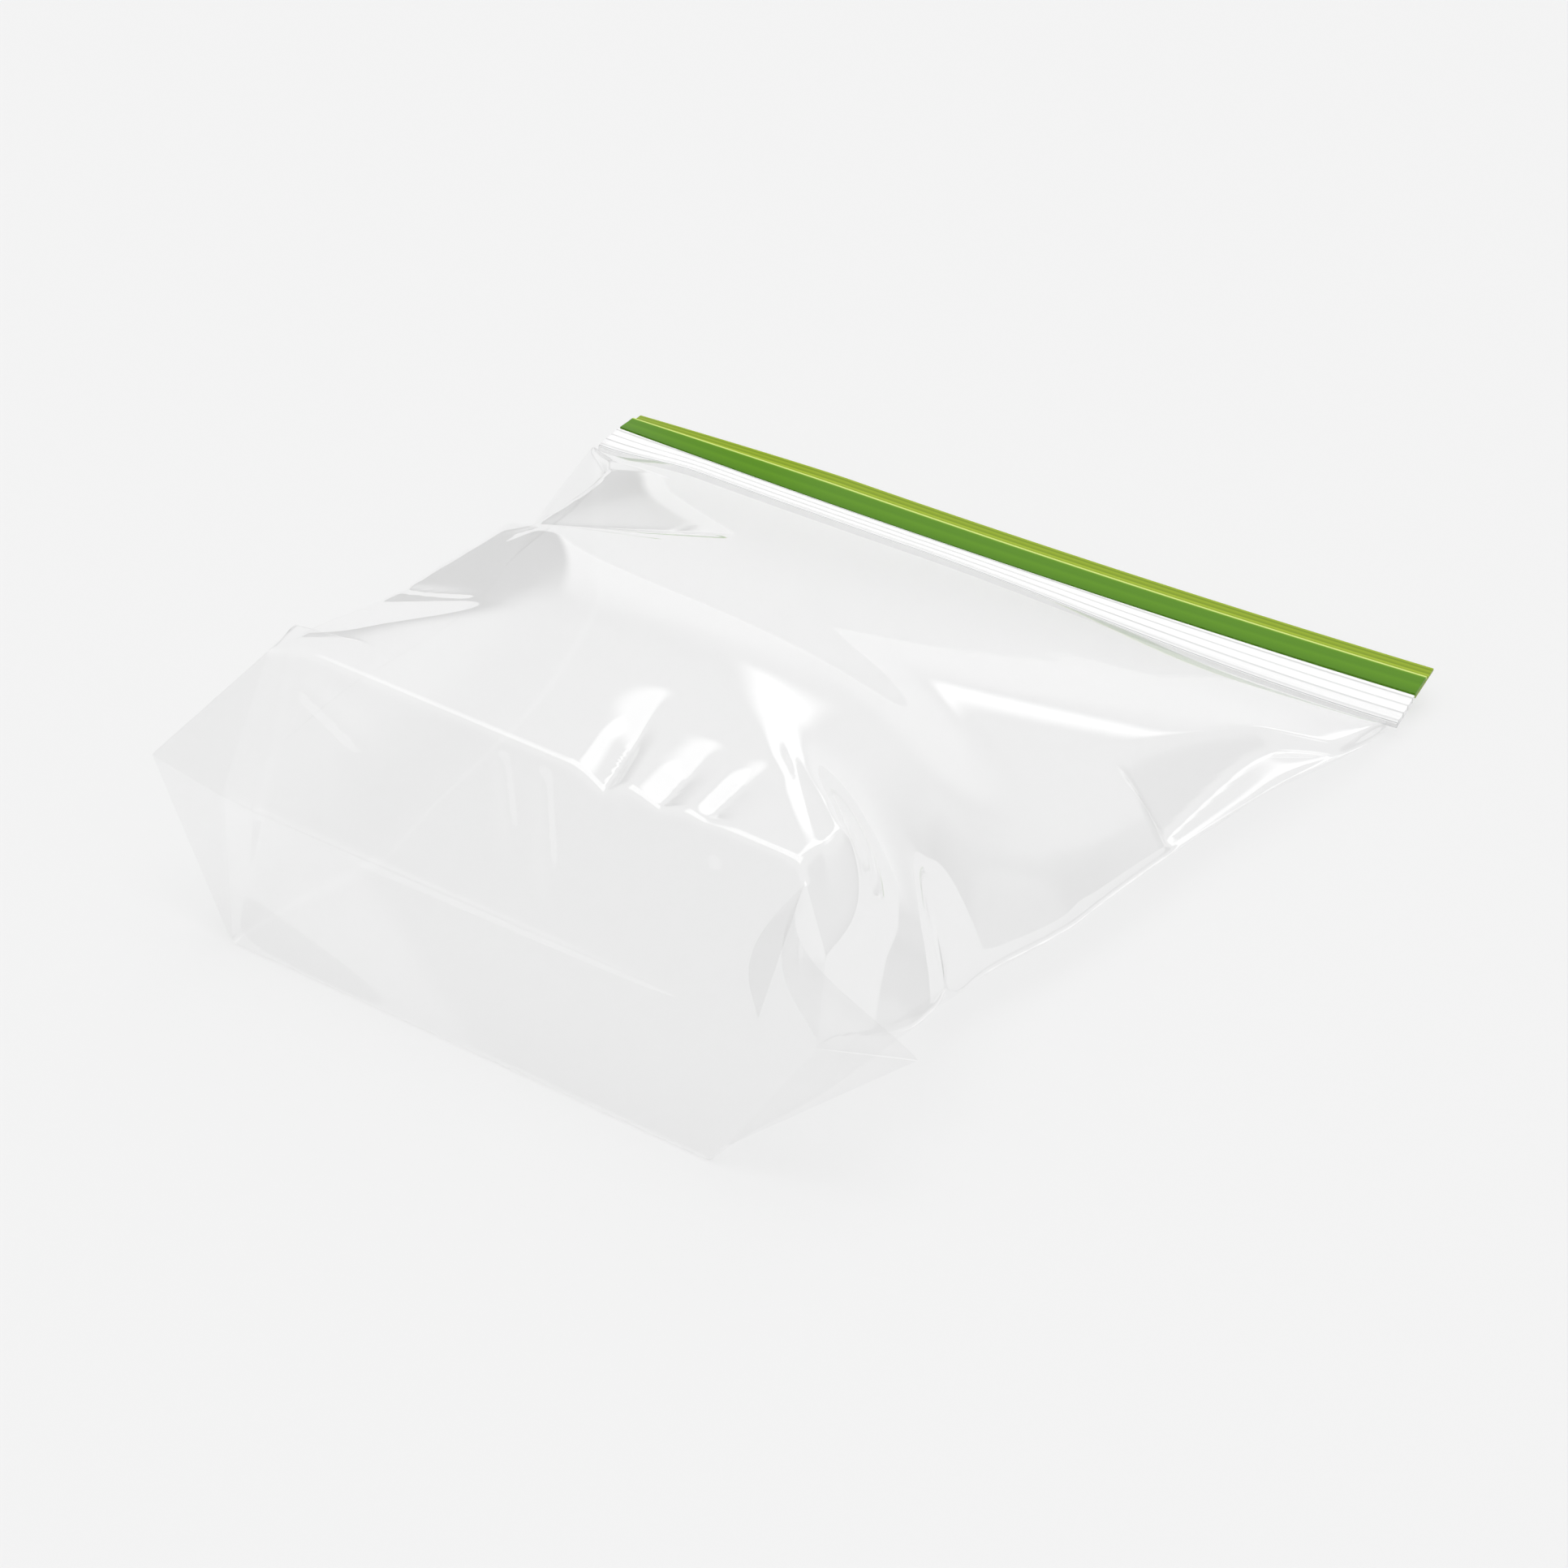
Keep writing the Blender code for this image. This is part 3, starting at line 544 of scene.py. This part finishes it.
def film_grid(side):
    """Places of one whole sheet: 1 for the upper one, -1 for the under one."""
    profile = top_profile if side > 0 else bottom_profile
    shares = film_shares()
    body = np.array([station(v, profile, shares) for v in graded(BODY_CELLS)])
    front = bottom_rows(side, body[0])
    pushed = face_relief(front[..., 0], front[..., 2]) * (front[..., 0] < EAR_SEAM_RIGHT)
    front[..., 1] -= pushed * ease(-99.0, -90.0, front[..., 0])
    grid = np.concatenate([front, body])
    return roll_edge(grid, FOLD_ROUND_UPPER if side > 0 else FOLD_ROUND_UNDER)


print("the bottom face has", len(FACE_CREASES), "fine creases")

# %% [markdown]
# ## The two sheets of film
# Each sheet starts as a plain grid, as flat as the film on its roll, and is then laid in
# its place.  The ears are folded along the diagonal of their square of film, so the cells
# there are cut along that fold.  The film could be given its thickness, but at this size its
# two sides would mirror the same room twice, so a single layer does.  The two sheets share
# their points along the welds and the bottom fold, and stay open along the zip.

# %% Lay one sheet
RESTING_ROWS = 6              # rows over which the under film comes to rest on the table


def sheet_of_film(name, side):
    """Lays a flat grid of film in its place; the under sheet notes where it rests."""
    rows = EAR_CELLS + BODY_CELLS + 1
    columns = 2 * EAR_CELLS + FACE_CELLS + 1
    bpy.ops.mesh.primitive_grid_add(x_subdivisions=columns - 1, y_subdivisions=rows - 1, size=1.0)
    sheet = bpy.context.object
    sheet.name = name
    sheet.data.attributes.new("resting", "FLOAT", "POINT")
    work = bmesh.new()
    work.from_mesh(sheet.data)
    work.verts.ensure_lookup_table()
    place = film_grid(side) + ORIGIN_SHIFT
    at = {}
    for vert in work.verts:
        r = round((vert.co.y + 0.5) * (rows - 1))
        c = round((vert.co.x + 0.5) * (columns - 1))
        at[r, c] = vert
        vert.co = Vector(place[r, c]) * MM
    for i in range(EAR_CELLS):
        for a, b in (((i, i), (i + 1, i + 1)), ((i, columns - 1 - i), (i + 1, columns - 2 - i))):
            shared = set(at[a].link_faces) & set(at[b].link_faces)
            for face in shared:
                bmesh.utils.face_split(face, at[a], at[b])
    if side < 0:
        bmesh.ops.reverse_faces(work, faces=work.faces)
    work.to_mesh(sheet.data)
    work.free()
    if side < 0:
        resting = sheet.data.attributes["resting"]
        rests = [float(ease(EAR_CELLS, EAR_CELLS + RESTING_ROWS, row)) for row in range(rows)]
        share = np.repeat(rests, columns)
        resting.data.foreach_set("value", share)
    return sheet


upper = sheet_of_film("upper_film", 1)
under = sheet_of_film("under_film", -1)
print("two sheets of", len(upper.data.polygons), "faces each")

# %% Weld the two sheets
WELD_REACH = 0.02             # mm: points of the two sheets that are closer than this are one
FILM_SMOOTH_ANGLE = 80.0      # degrees: folds sharper than this stay sharp

bpy.ops.object.select_all(action="DESELECT")
upper.select_set(True)
under.select_set(True)
bpy.context.view_layer.objects.active = upper
bpy.ops.object.join()
film = bpy.context.object
film.name = "bag_film"
bpy.ops.object.mode_set(mode="EDIT")
bpy.ops.mesh.select_all(action="SELECT")
bpy.ops.mesh.remove_doubles(threshold=WELD_REACH * MM)
bpy.ops.mesh.normals_make_consistent(inside=False)
bpy.ops.object.mode_set(mode="OBJECT")
bpy.ops.object.shade_smooth_by_angle(angle=math.radians(FILM_SMOOTH_ANGLE))
print("film:", len(film.data.vertices), "vertices,", len(film.data.polygons), "faces")


# %% [markdown]
# ## The zip
# The zip is extruded plastic that is welded to the film: a clear band with four ribs that
# guide the fingers and hide the rails, and two pull lips of unlike width, so that a thumb
# finds each one.  All three follow the same skewed and slightly bowed line.  They are lofted
# from one section repeated along that line, as the real ones come from one die.  Each point
# remembers how far across its section it lies, for the painted stripes of highlight and shade.

# %% Lofting along the zip
ZIP_CELLS = 134               # cells along the zip
ZIP_SMOOTH_ANGLE = 40.0       # degrees: edges sharper than this stay sharp


def zip_frame(x):
    """Origin of the zip's section at one place, with its outward and upward directions."""
    along = np.array([1.0, ZIP_SKEW, -ZIP_FALL])
    along = along / np.linalg.norm(along)
    up = np.array([0.0, 0.0, 1.0]) - along[2] * along
    up = up / np.linalg.norm(up)
    y, z = lock_line(x)
    return np.array([x, y, z]) + ORIGIN_SHIFT, np.cross(up, along), up


def loft(name, sections, shares):
    """A closed solid from like sections; shares says how far across each point lies."""
    size = len(sections[0])
    points = [tuple(p * MM) for section in sections for p in section]
    faces = [tuple(range(size))]
    for s in range(len(sections) - 1):
        for i in range(size):
            j = (i + 1) % size
            faces.append((s * size + i, s * size + j, (s + 1) * size + j, (s + 1) * size + i))
    last = (len(sections) - 1) * size
    faces.append(tuple(last + i for i in reversed(range(size))))
    mesh = bpy.data.meshes.new(name)
    mesh.from_pydata(points, [], faces)
    across = mesh.attributes.new("across", "FLOAT", "POINT")
    across.data.foreach_set("value", list(shares) * len(sections))
    item = bpy.data.objects.new(name, mesh)
    bpy.context.scene.collection.objects.link(item)
    bpy.ops.object.select_all(action="DESELECT")
    item.select_set(True)
    bpy.context.view_layer.objects.active = item
    bpy.ops.object.mode_set(mode="EDIT")
    bpy.ops.mesh.select_all(action="SELECT")
    bpy.ops.mesh.normals_make_consistent(inside=False)
    bpy.ops.object.mode_set(mode="OBJECT")
    bpy.ops.object.shade_smooth_by_angle(angle=math.radians(ZIP_SMOOTH_ANGLE))
    return item


ZIP_STATIONS = [-ZIP_HALF + 2.0 * ZIP_HALF * i / ZIP_CELLS for i in range(ZIP_CELLS + 1)]
print("the zip has", len(ZIP_STATIONS), "stations")

# %% The ribbed flange
FLANGE_RIBS = 4
RIB_HEIGHT = 0.35
FLANGE_STEPS = 48             # steps across its upper side
PLAIN_SHARES = (1.0, 0.5, 0.0)   # the plain underside needs only these places
FLANGE_SHARES = [step / FLANGE_STEPS for step in range(FLANGE_STEPS + 1)]


def flange_section(x):
    """Outline of the flange at one place: ribbed above, plain below."""
    origin, out, up = zip_frame(x)
    tilt = float(flange_tilt(x))
    away = -math.cos(tilt) * out + math.sin(tilt) * up
    normal = math.sin(tilt) * out + math.cos(tilt) * up
    loop = []
    for share in FLANGE_SHARES:
        rib = RIB_HEIGHT * (0.5 - 0.5 * math.cos(2.0 * math.pi * FLANGE_RIBS * share))
        reach = GAP + share * (FLANGE_WIDTH - GAP)
        loop.append(origin + reach * away + (FLANGE_THICK / 2 - RIB_HEIGHT + rib) * normal)
    for share in PLAIN_SHARES:
        reach = GAP + share * (FLANGE_WIDTH - GAP)
        loop.append(origin + reach * away - FLANGE_THICK / 2 * normal)
    return loop


flange = loft("zip_flange_band", [flange_section(x) for x in ZIP_STATIONS],
              FLANGE_SHARES + list(PLAIN_SHARES))
print(flange.name + ":", len(flange.data.polygons), "faces")

# %% The two pull lips
FRONT_LIP_WIDTH = 8.4
BACK_LIP_WIDTH = 13.6
LIP_THICK = 0.8
LIP_TILT = 7.0                # degrees, and the droop towards the left end
LIP_DROOP = 16.5
LIP_DROOP_FROM = -60.0
LIP_DROOP_POWER = 1.3
FRONT_LIP_CURL = 3.0          # degrees from the lock line to the free edge
BACK_LIP_CURL = 2.0
LIP_STEPS = 10                # steps across a lip
LIP_SHARES = [step / LIP_STEPS for step in range(LIP_STEPS + 1)]
HALF_PAIR = (LIP_THICK + GAP) / 2


def lip_tilt(x):
    """How steeply the lips start from the lock line, in radians."""
    near_end = np.clip((LIP_DROOP_FROM - x) / (ZIP_HALF + LIP_DROOP_FROM), 0.0, 1.0)
    return np.radians(LIP_TILT - LIP_DROOP * near_end ** LIP_DROOP_POWER)


def lip_section(x, width, offset, curl):
    """Outline of one lip at one place, curling by that angle towards its free edge."""
    origin, out, up = zip_frame(x)
    start = float(lip_tilt(x))
    point = origin + GAP * (math.cos(start) * out + math.sin(start) * up)
    upper_side = []
    lower_side = []
    for share in LIP_SHARES:
        tilt = start + curl * share
        normal = -math.sin(tilt) * out + math.cos(tilt) * up
        upper_side.append(point + (offset + LIP_THICK / 2) * normal)
        lower_side.append(point + (offset - LIP_THICK / 2) * normal)
        point = point + width / LIP_STEPS * (math.cos(tilt) * out + math.sin(tilt) * up)
    return upper_side + lower_side[::-1]


def lip(name, width, offset, curl):
    """One pull lip; the offset says on which side of the lock line it lies."""
    sections = [lip_section(x, width, offset, curl) for x in ZIP_STATIONS]
    return loft(name, sections, LIP_SHARES + LIP_SHARES[::-1])


front_lip = lip("front_pull_lip", FRONT_LIP_WIDTH, HALF_PAIR, math.radians(FRONT_LIP_CURL))
back_lip = lip("back_pull_lip", BACK_LIP_WIDTH, -HALF_PAIR, math.radians(BACK_LIP_CURL))
for piece in (front_lip, back_lip):
    print(piece.name + ":", len(piece.data.polygons), "faces")


# %% [markdown]
# ## Tools for the finishes
# Colours are picked as hex values, as a paint chart gives them, and one function turns them
# into the linear values that shaders need.  A second one adds a node with its settings and
# its links in one line, so that each finish reads from top to bottom.

# %% Colour and node helpers
def linear(hex_colour):
    """A colour picked as sRGB hex, turned to the linear values that shaders need."""
    value = hex_colour.lstrip("#")
    parts = [int(value[i:i + 2], 16) / 255.0 for i in (0, 2, 4)]
    return tuple(p / 12.92 if p <= 0.04045 else ((p + 0.055) / 1.055) ** 2.4 for p in parts) + (1.0,)


def add_node(material, kind, inputs=None, links=None, **settings):
    """One node with its settings; links maps an input to (node, output)."""
    node = material.node_tree.nodes.new(kind)
    for key, value in settings.items():
        setattr(node, key, value)
    for key, value in (inputs or {}).items():
        node.inputs[key].default_value = value
    for key, (source, output) in (links or {}).items():
        material.node_tree.links.new(source.outputs[output], node.inputs[key])
    return node


def new_material(name):
    """An empty material, ready for nodes."""
    material = bpy.data.materials.new(name)
    material.use_nodes = True
    material.node_tree.nodes.clear()
    return material


def on_its_way(material):
    """1 for light on its way to another surface, 0 for what is looked at."""
    path = add_node(material, "ShaderNodeLightPath")
    return add_node(material, "ShaderNodeMath", {},
                    {0: (path, "Is Shadow Ray"), 1: (path, "Is Diffuse Ray")}, operation="MAXIMUM")


def fill_ramp(node, stops):
    """Gives a colour ramp these stops, each a place and its colour."""
    ramp = node.color_ramp
    while len(ramp.elements) < len(stops):
        ramp.elements.new(0.5)
    for element, (place, shade) in zip(ramp.elements, sorted(stops.items())):
        element.position = place
        element.color = shade


print("mid grey #808080 is", round(linear("#808080")[0], 3), "in a shader")

# %% [markdown]
# ## Clear film
# Blown polyethylene film is 0.06 mm thick.  A film that thin doesn't bend light, it only
# mirrors about a twelfth of it, and far more at a glancing angle.  So the finish is plain
# transparency mixed with a sharp gloss, and Layer Weight drives the share of gloss.  Where
# the under film lies on the table its mirror is lost, and a point attribute lowers it.  Light
# that falls through to the table is dimmed less than the view is, as it comes from all sides.

# %% Film material
MIRROR_STRAIGHT = 0.08        # share that is mirrored when looked at straight ...
MIRROR_GAIN = 0.92            # ... and what is added up to a glancing angle, ...
GLANCING_POWER = 4.0          # ... most of it close to that angle
RESTING_MIRROR = 0.12         # what is left of it where the film lies on the table
PASSING_MIRROR = 0.45         # and for light on its way to the table
FILM_ROUGHNESS = 0.05

film_look = new_material("clear_polyethylene_film")
weight = add_node(film_look, "ShaderNodeLayerWeight", {"Blend": 0.5})
power = add_node(film_look, "ShaderNodeMath", {1: GLANCING_POWER}, {0: (weight, "Facing")},
                 operation="POWER")
sheen = add_node(film_look, "ShaderNodeMath", {1: MIRROR_GAIN, 2: MIRROR_STRAIGHT},
                 {0: (power, 0)}, operation="MULTIPLY_ADD")
resting = add_node(film_look, "ShaderNodeAttribute", attribute_name="resting")
flat = add_node(film_look, "ShaderNodeMapRange", {"To Min": 1.0, "To Max": RESTING_MIRROR},
                {"Value": (resting, "Fac")})
seen = add_node(film_look, "ShaderNodeMath", {}, {0: (sheen, 0), 1: (flat, 0)},
                operation="MULTIPLY")
kept = add_node(film_look, "ShaderNodeMapRange", {"To Min": 1.0, "To Max": PASSING_MIRROR},
                {"Value": (on_its_way(film_look), 0)})
mirror = add_node(film_look, "ShaderNodeMath", {}, {0: (seen, 0), 1: (kept, 0)},
                  operation="MULTIPLY")
clear = add_node(film_look, "ShaderNodeBsdfTransparent", {"Color": linear("#FEFEFE")})
gloss = add_node(film_look, "ShaderNodeBsdfGlossy",
                 {"Color": linear("#FFFFFF"), "Roughness": FILM_ROUGHNESS})
mix = add_node(film_look, "ShaderNodeMixShader", {}, {0: (mirror, 0), 1: (clear, 0), 2: (gloss, 0)})
add_node(film_look, "ShaderNodeOutputMaterial", {}, {"Surface": (mix, 0)})
print(film_look.name, "has", len(film_look.node_tree.nodes), "nodes")


# %% [markdown]
# ## Zip plastics
# The band is clear plastic too; its near-white is painted sheen, and the grey lines on its
# rib crests and near its outer edge are painted shade.  The lips are one green plastic,
# painted as a shaded deep green on the front lip and a lit light green on the back one.  The
# fine bright line between the greens is a painted highlight on the front lip's free edge, and
# the back lip has thin painted highlights and shade lines.  Those stripes are a colour ramp over
# the share across the section.  All three let most of the light through to the table.

# %% Zip materials
PLASTIC_IOR = 1.5
PLASTIC_SPECULAR = 0.15       # less than full gloss: extruded polyethylene is waxy
LIGHT_THROUGH = 0.93          # share of the light that reaches the table through the plastic


def plastic(name, stripes, roughness, see_through):
    """Glossy plastic with painted stripes of highlight and shade across its width, given as share of
    the width: colour.
    """
    material = new_material(name)
    across = add_node(material, "ShaderNodeAttribute", attribute_name="across")
    colour = add_node(material, "ShaderNodeValToRGB", {}, {0: (across, "Fac")})
    fill_ramp(colour, {place: linear(shade) for place, shade in stripes.items()})
    body = add_node(material, "ShaderNodeBsdfPrincipled",
                    {"Roughness": roughness, "IOR": PLASTIC_IOR,
                     "Specular IOR Level": PLASTIC_SPECULAR},
                    {"Base Color": (colour, "Color")})
    clear = add_node(material, "ShaderNodeBsdfTransparent")
    share = add_node(material, "ShaderNodeMapRange",
                     {"To Min": see_through, "To Max": LIGHT_THROUGH},
                     {"Value": (on_its_way(material), 0)})
    mix = add_node(material, "ShaderNodeMixShader", {}, {0: (share, 0), 1: (body, 0), 2: (clear, 0)})
    add_node(material, "ShaderNodeOutputMaterial", {}, {"Surface": (mix, 0)})
    return material


print("plastic lets", LIGHT_THROUGH, "of the light through")

# %% Their colours
# painted on a clear band: the near-white is painted sheen, and the grey lines on the rib crests and the
# dark line near the outer edge are painted shade
FLANGE_SHEEN_AND_SHADE = {0.0: "#F2F2F2", 0.08: "#F2F2F2", 0.12: "#BFBFBF", 0.16: "#F0F0F0", 0.34: "#F0F0F0",
          0.38: "#C4C4C4", 0.42: "#F2F2F2", 0.60: "#F0F0F0", 0.64: "#BDBDBD", 0.68: "#ECECEC",
          0.86: "#E6E6E6", 0.90: "#CFCFCF", 0.95: "#EAEAEA",
          0.972: "#8E9090", 0.99: "#E6E6E6", 1.0: "#E6E6E6"}
# one green plastic: the front lip is a painted shaded green, and the pale line at its free edge is a
# painted highlight
FRONT_LIP_SHADE_AND_HIGHLIGHT = {0.0: "#467600", 0.2: "#4D7D00", 0.45: "#548504", 0.6: "#4D7D00", 0.86: "#4F8000",
        0.92: "#5F8E0A", 0.96: "#C8DA78", 1.0: "#C8DA78"}
# the same green plastic: the back lip is a painted lit green, with thin painted highlights and shade
# lines across it
BACK_LIP_LIGHT_AND_SHADE = {0.0: "#7B9211", 0.70: "#7B9211", 0.76: "#99AF2A", 0.80: "#728A0C", 0.88: "#8AA11C",
         0.93: "#6B840A", 0.97: "#8FA524", 1.0: "#8FA524"}
flange_painted_look = plastic("clear_ribbed_polyethylene_painted_sheen_and_shade", FLANGE_SHEEN_AND_SHADE, roughness=0.15, see_through=0.2)
front_lip_painted_look = plastic("green_polyethylene_painted_shade_and_highlight", FRONT_LIP_SHADE_AND_HIGHLIGHT, roughness=0.22, see_through=0.0)
back_lip_painted_look = plastic("green_polyethylene_painted_light_and_shade", BACK_LIP_LIGHT_AND_SHADE, roughness=0.22, see_through=0.0)
for piece, look in ((film, film_look), (flange, flange_painted_look),
                    (front_lip, front_lip_painted_look), (back_lip, back_lip_painted_look)):
    piece.data.materials.clear()
    piece.data.materials.append(look)
    print(piece.name, "is made of", look.name)

# %% [markdown]
# ## Tie the pieces to the frame
# The bag has no joint, so all four pieces ride on the one body.  Each takes the place of one
# solid: the film stands for the filled body, and the zip pieces for their own solids.

# %% Tie the pieces to the frame
for piece, node, slot_name in ((film, "bag_body", "film"),
                               (flange, "zip_flange", "flange"),
                               (front_lip, "lip_front", "front_lip"),
                               (back_lip, "lip_back", "back_lip")):
    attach(piece, "root")
    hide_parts(node)
    print(piece.name, "replaces", node)

# %% [markdown]
# ## The table
# The bag lies on a matt white table.  It could be a real table top, but a plain sheet that is
# larger than the view shows the bag's soft shadow just as well and has no edge to explain.

# %% The table
TABLE_WIDTH = 8.0             # metres
TABLE_DROP = 0.0004           # metres: just below the film, so that the two don't share a plane
bpy.ops.mesh.primitive_plane_add(size=TABLE_WIDTH, location=(0.0, 0.0, -TABLE_DROP))
floor = bpy.context.object
floor.name = "floor"
floor_look = new_material("matt_white_floor")
shader = add_node(floor_look, "ShaderNodeBsdfDiffuse", {"Color": linear("#DDDDDD")})
add_node(floor_look, "ShaderNodeOutputMaterial", {}, {"Surface": (shader, 0)})
floor.data.materials.append(floor_look)
print("floor:", floor.name, "with", floor_look.name)

# %% [markdown]
# ## Light
# Clear film shows only what it mirrors, so the room matters more than the finish.  Lamps with
# soft boxes could light it, but a world made of a few soft-edged patches mirrors the same way
# and is simpler to place.  It is a soft white tent that is darker near the horizon, with an
# overhead panel and a panel at the back, whose edges draw the highlights along the folds.  A
# dark card at the right gives the pulled corner its grey facets, and a low strip behind the
# zip keeps its slope bright.

# %% Sums for the world
world = bpy.data.worlds.new("studio")
bpy.context.scene.world = world
world.use_nodes = True
world.node_tree.nodes.clear()


def maths(operation, first, second):
    """A Math node on world values; each operand is a number or a (node, output) pair."""
    inputs = {k: o for k, o in enumerate((first, second)) if not isinstance(o, tuple)}
    links = {k: o for k, o in enumerate((first, second)) if isinstance(o, tuple)}
    return (add_node(world, "ShaderNodeMath", inputs, links, operation=operation), 0)


def rise(value, start, end):
    """0 at start and 1 at end, with a soft step between; start may be the larger."""
    settings = {"From Min": min(start, end), "From Max": max(start, end)}
    if start > end:
        settings.update({"To Min": 1.0, "To Max": 0.0})
    node = add_node(world, "ShaderNodeMapRange", settings, {"Value": value},
                    interpolation_type="SMOOTHSTEP")
    return (node, 0)


def product(*values):
    """All of these values multiplied."""
    total = values[0]
    for value in values[1:]:
        total = maths("MULTIPLY", total, value)
    return total


def beside(value, reach):
    """How far a direction points that way for each unit of its reach upwards or back."""
    return maths("DIVIDE", value, maths("MAXIMUM", reach, 0.05))


print("world:", world.name)

# %% The tent and its panels
outwards = add_node(world, "ShaderNodeTexCoord")
part = add_node(world, "ShaderNodeSeparateXYZ", {}, {0: (outwards, "Generated")})
across, along, height = (part, "X"), (part, "Y"), (part, "Z")
SKY = {0.0: 0.28, 0.12: 0.30, 0.26: 0.50, 0.42: 0.80, 0.56: 0.92, 0.75: 0.95, 1.0: 1.0}
sky = add_node(world, "ShaderNodeValToRGB", {}, {0: height})
fill_ramp(sky, {place: (grey, grey, grey, 1.0) for place, grey in SKY.items()})
above_x, above_y = beside(across, height), beside(along, height)
back_x, back_z = beside(across, along), beside(height, along)

# the last number of each patch is its brightness, and the card takes light away
overhead = product(rise(above_x, -0.74, -0.54), rise(above_x, 0.5, 0.3),
                   rise(above_y, -0.3, -0.1), rise(above_y, 0.86, 0.62), 1.5)
back = product(rise(back_x, -0.46, -0.34), rise(back_x, -0.02, -0.14),
               rise(back_z, 0.34, 0.46), rise(back_z, 1.6, 1.3), 1.5)
front = product(rise(along, -0.2, -0.6), rise(height, 0.5, 0.05), 0.25)
sweep = product(rise(back_x, -0.80, -0.70), rise(back_x, 0.35, 0.15), rise(height, 0.5, 0.1), 0.78)
card = product(rise(back_x, 0.40, 0.60), rise(back_x, 2.0, 1.5), rise(height, 0.44, 0.30), -0.28)
patches = (overhead, back, front, sweep, card)
total = (sky, 0)
for patch in patches:
    total = maths("ADD", total, patch)
light = add_node(world, "ShaderNodeBackground", {"Strength": 1.0}, {"Color": total})
add_node(world, "ShaderNodeOutputWorld", {}, {"Surface": (light, 0)})
print("light: a tent of", len(SKY), "greys and", len(patches), "patches")

# %% [markdown]
# ## Camera
# A long lens from well above keeps the bag's edges almost parallel, as product pictures do.
# The camera could be turned by hand, but an angle round, an angle up and a distance say the
# same with three numbers that can be read.

# %% Camera
AZIMUTH = math.radians(34.4)
ELEVATION = math.radians(35.8)
DISTANCE = 1.585              # metres
TARGET = Vector((0.0184, -0.0244, 0.0235))
SENSOR_WIDTH = 36.0
VIEW_ANGLE = math.radians(16.0)
camera_data = bpy.data.cameras.new("camera")
camera_data.sensor_width = SENSOR_WIDTH
camera_data.lens = SENSOR_WIDTH / 2 / math.tan(VIEW_ANGLE / 2)
camera_data.clip_end = 50.0
camera = bpy.data.objects.new("camera", camera_data)
bpy.context.scene.collection.objects.link(camera)
towards_camera = Vector((math.sin(AZIMUTH) * math.cos(ELEVATION),
                         -math.cos(AZIMUTH) * math.cos(ELEVATION),
                         math.sin(ELEVATION)))
camera.location = TARGET + towards_camera * DISTANCE
camera.rotation_euler = (-towards_camera).to_track_quat("-Z", "Y").to_euler()
bpy.context.scene.camera = camera
bpy.context.scene.view_settings.view_transform = "Standard"
print("camera:", round(math.degrees(AZIMUTH), 1), "degrees round,",
      round(math.degrees(ELEVATION), 1), "degrees up,", DISTANCE, "m away")
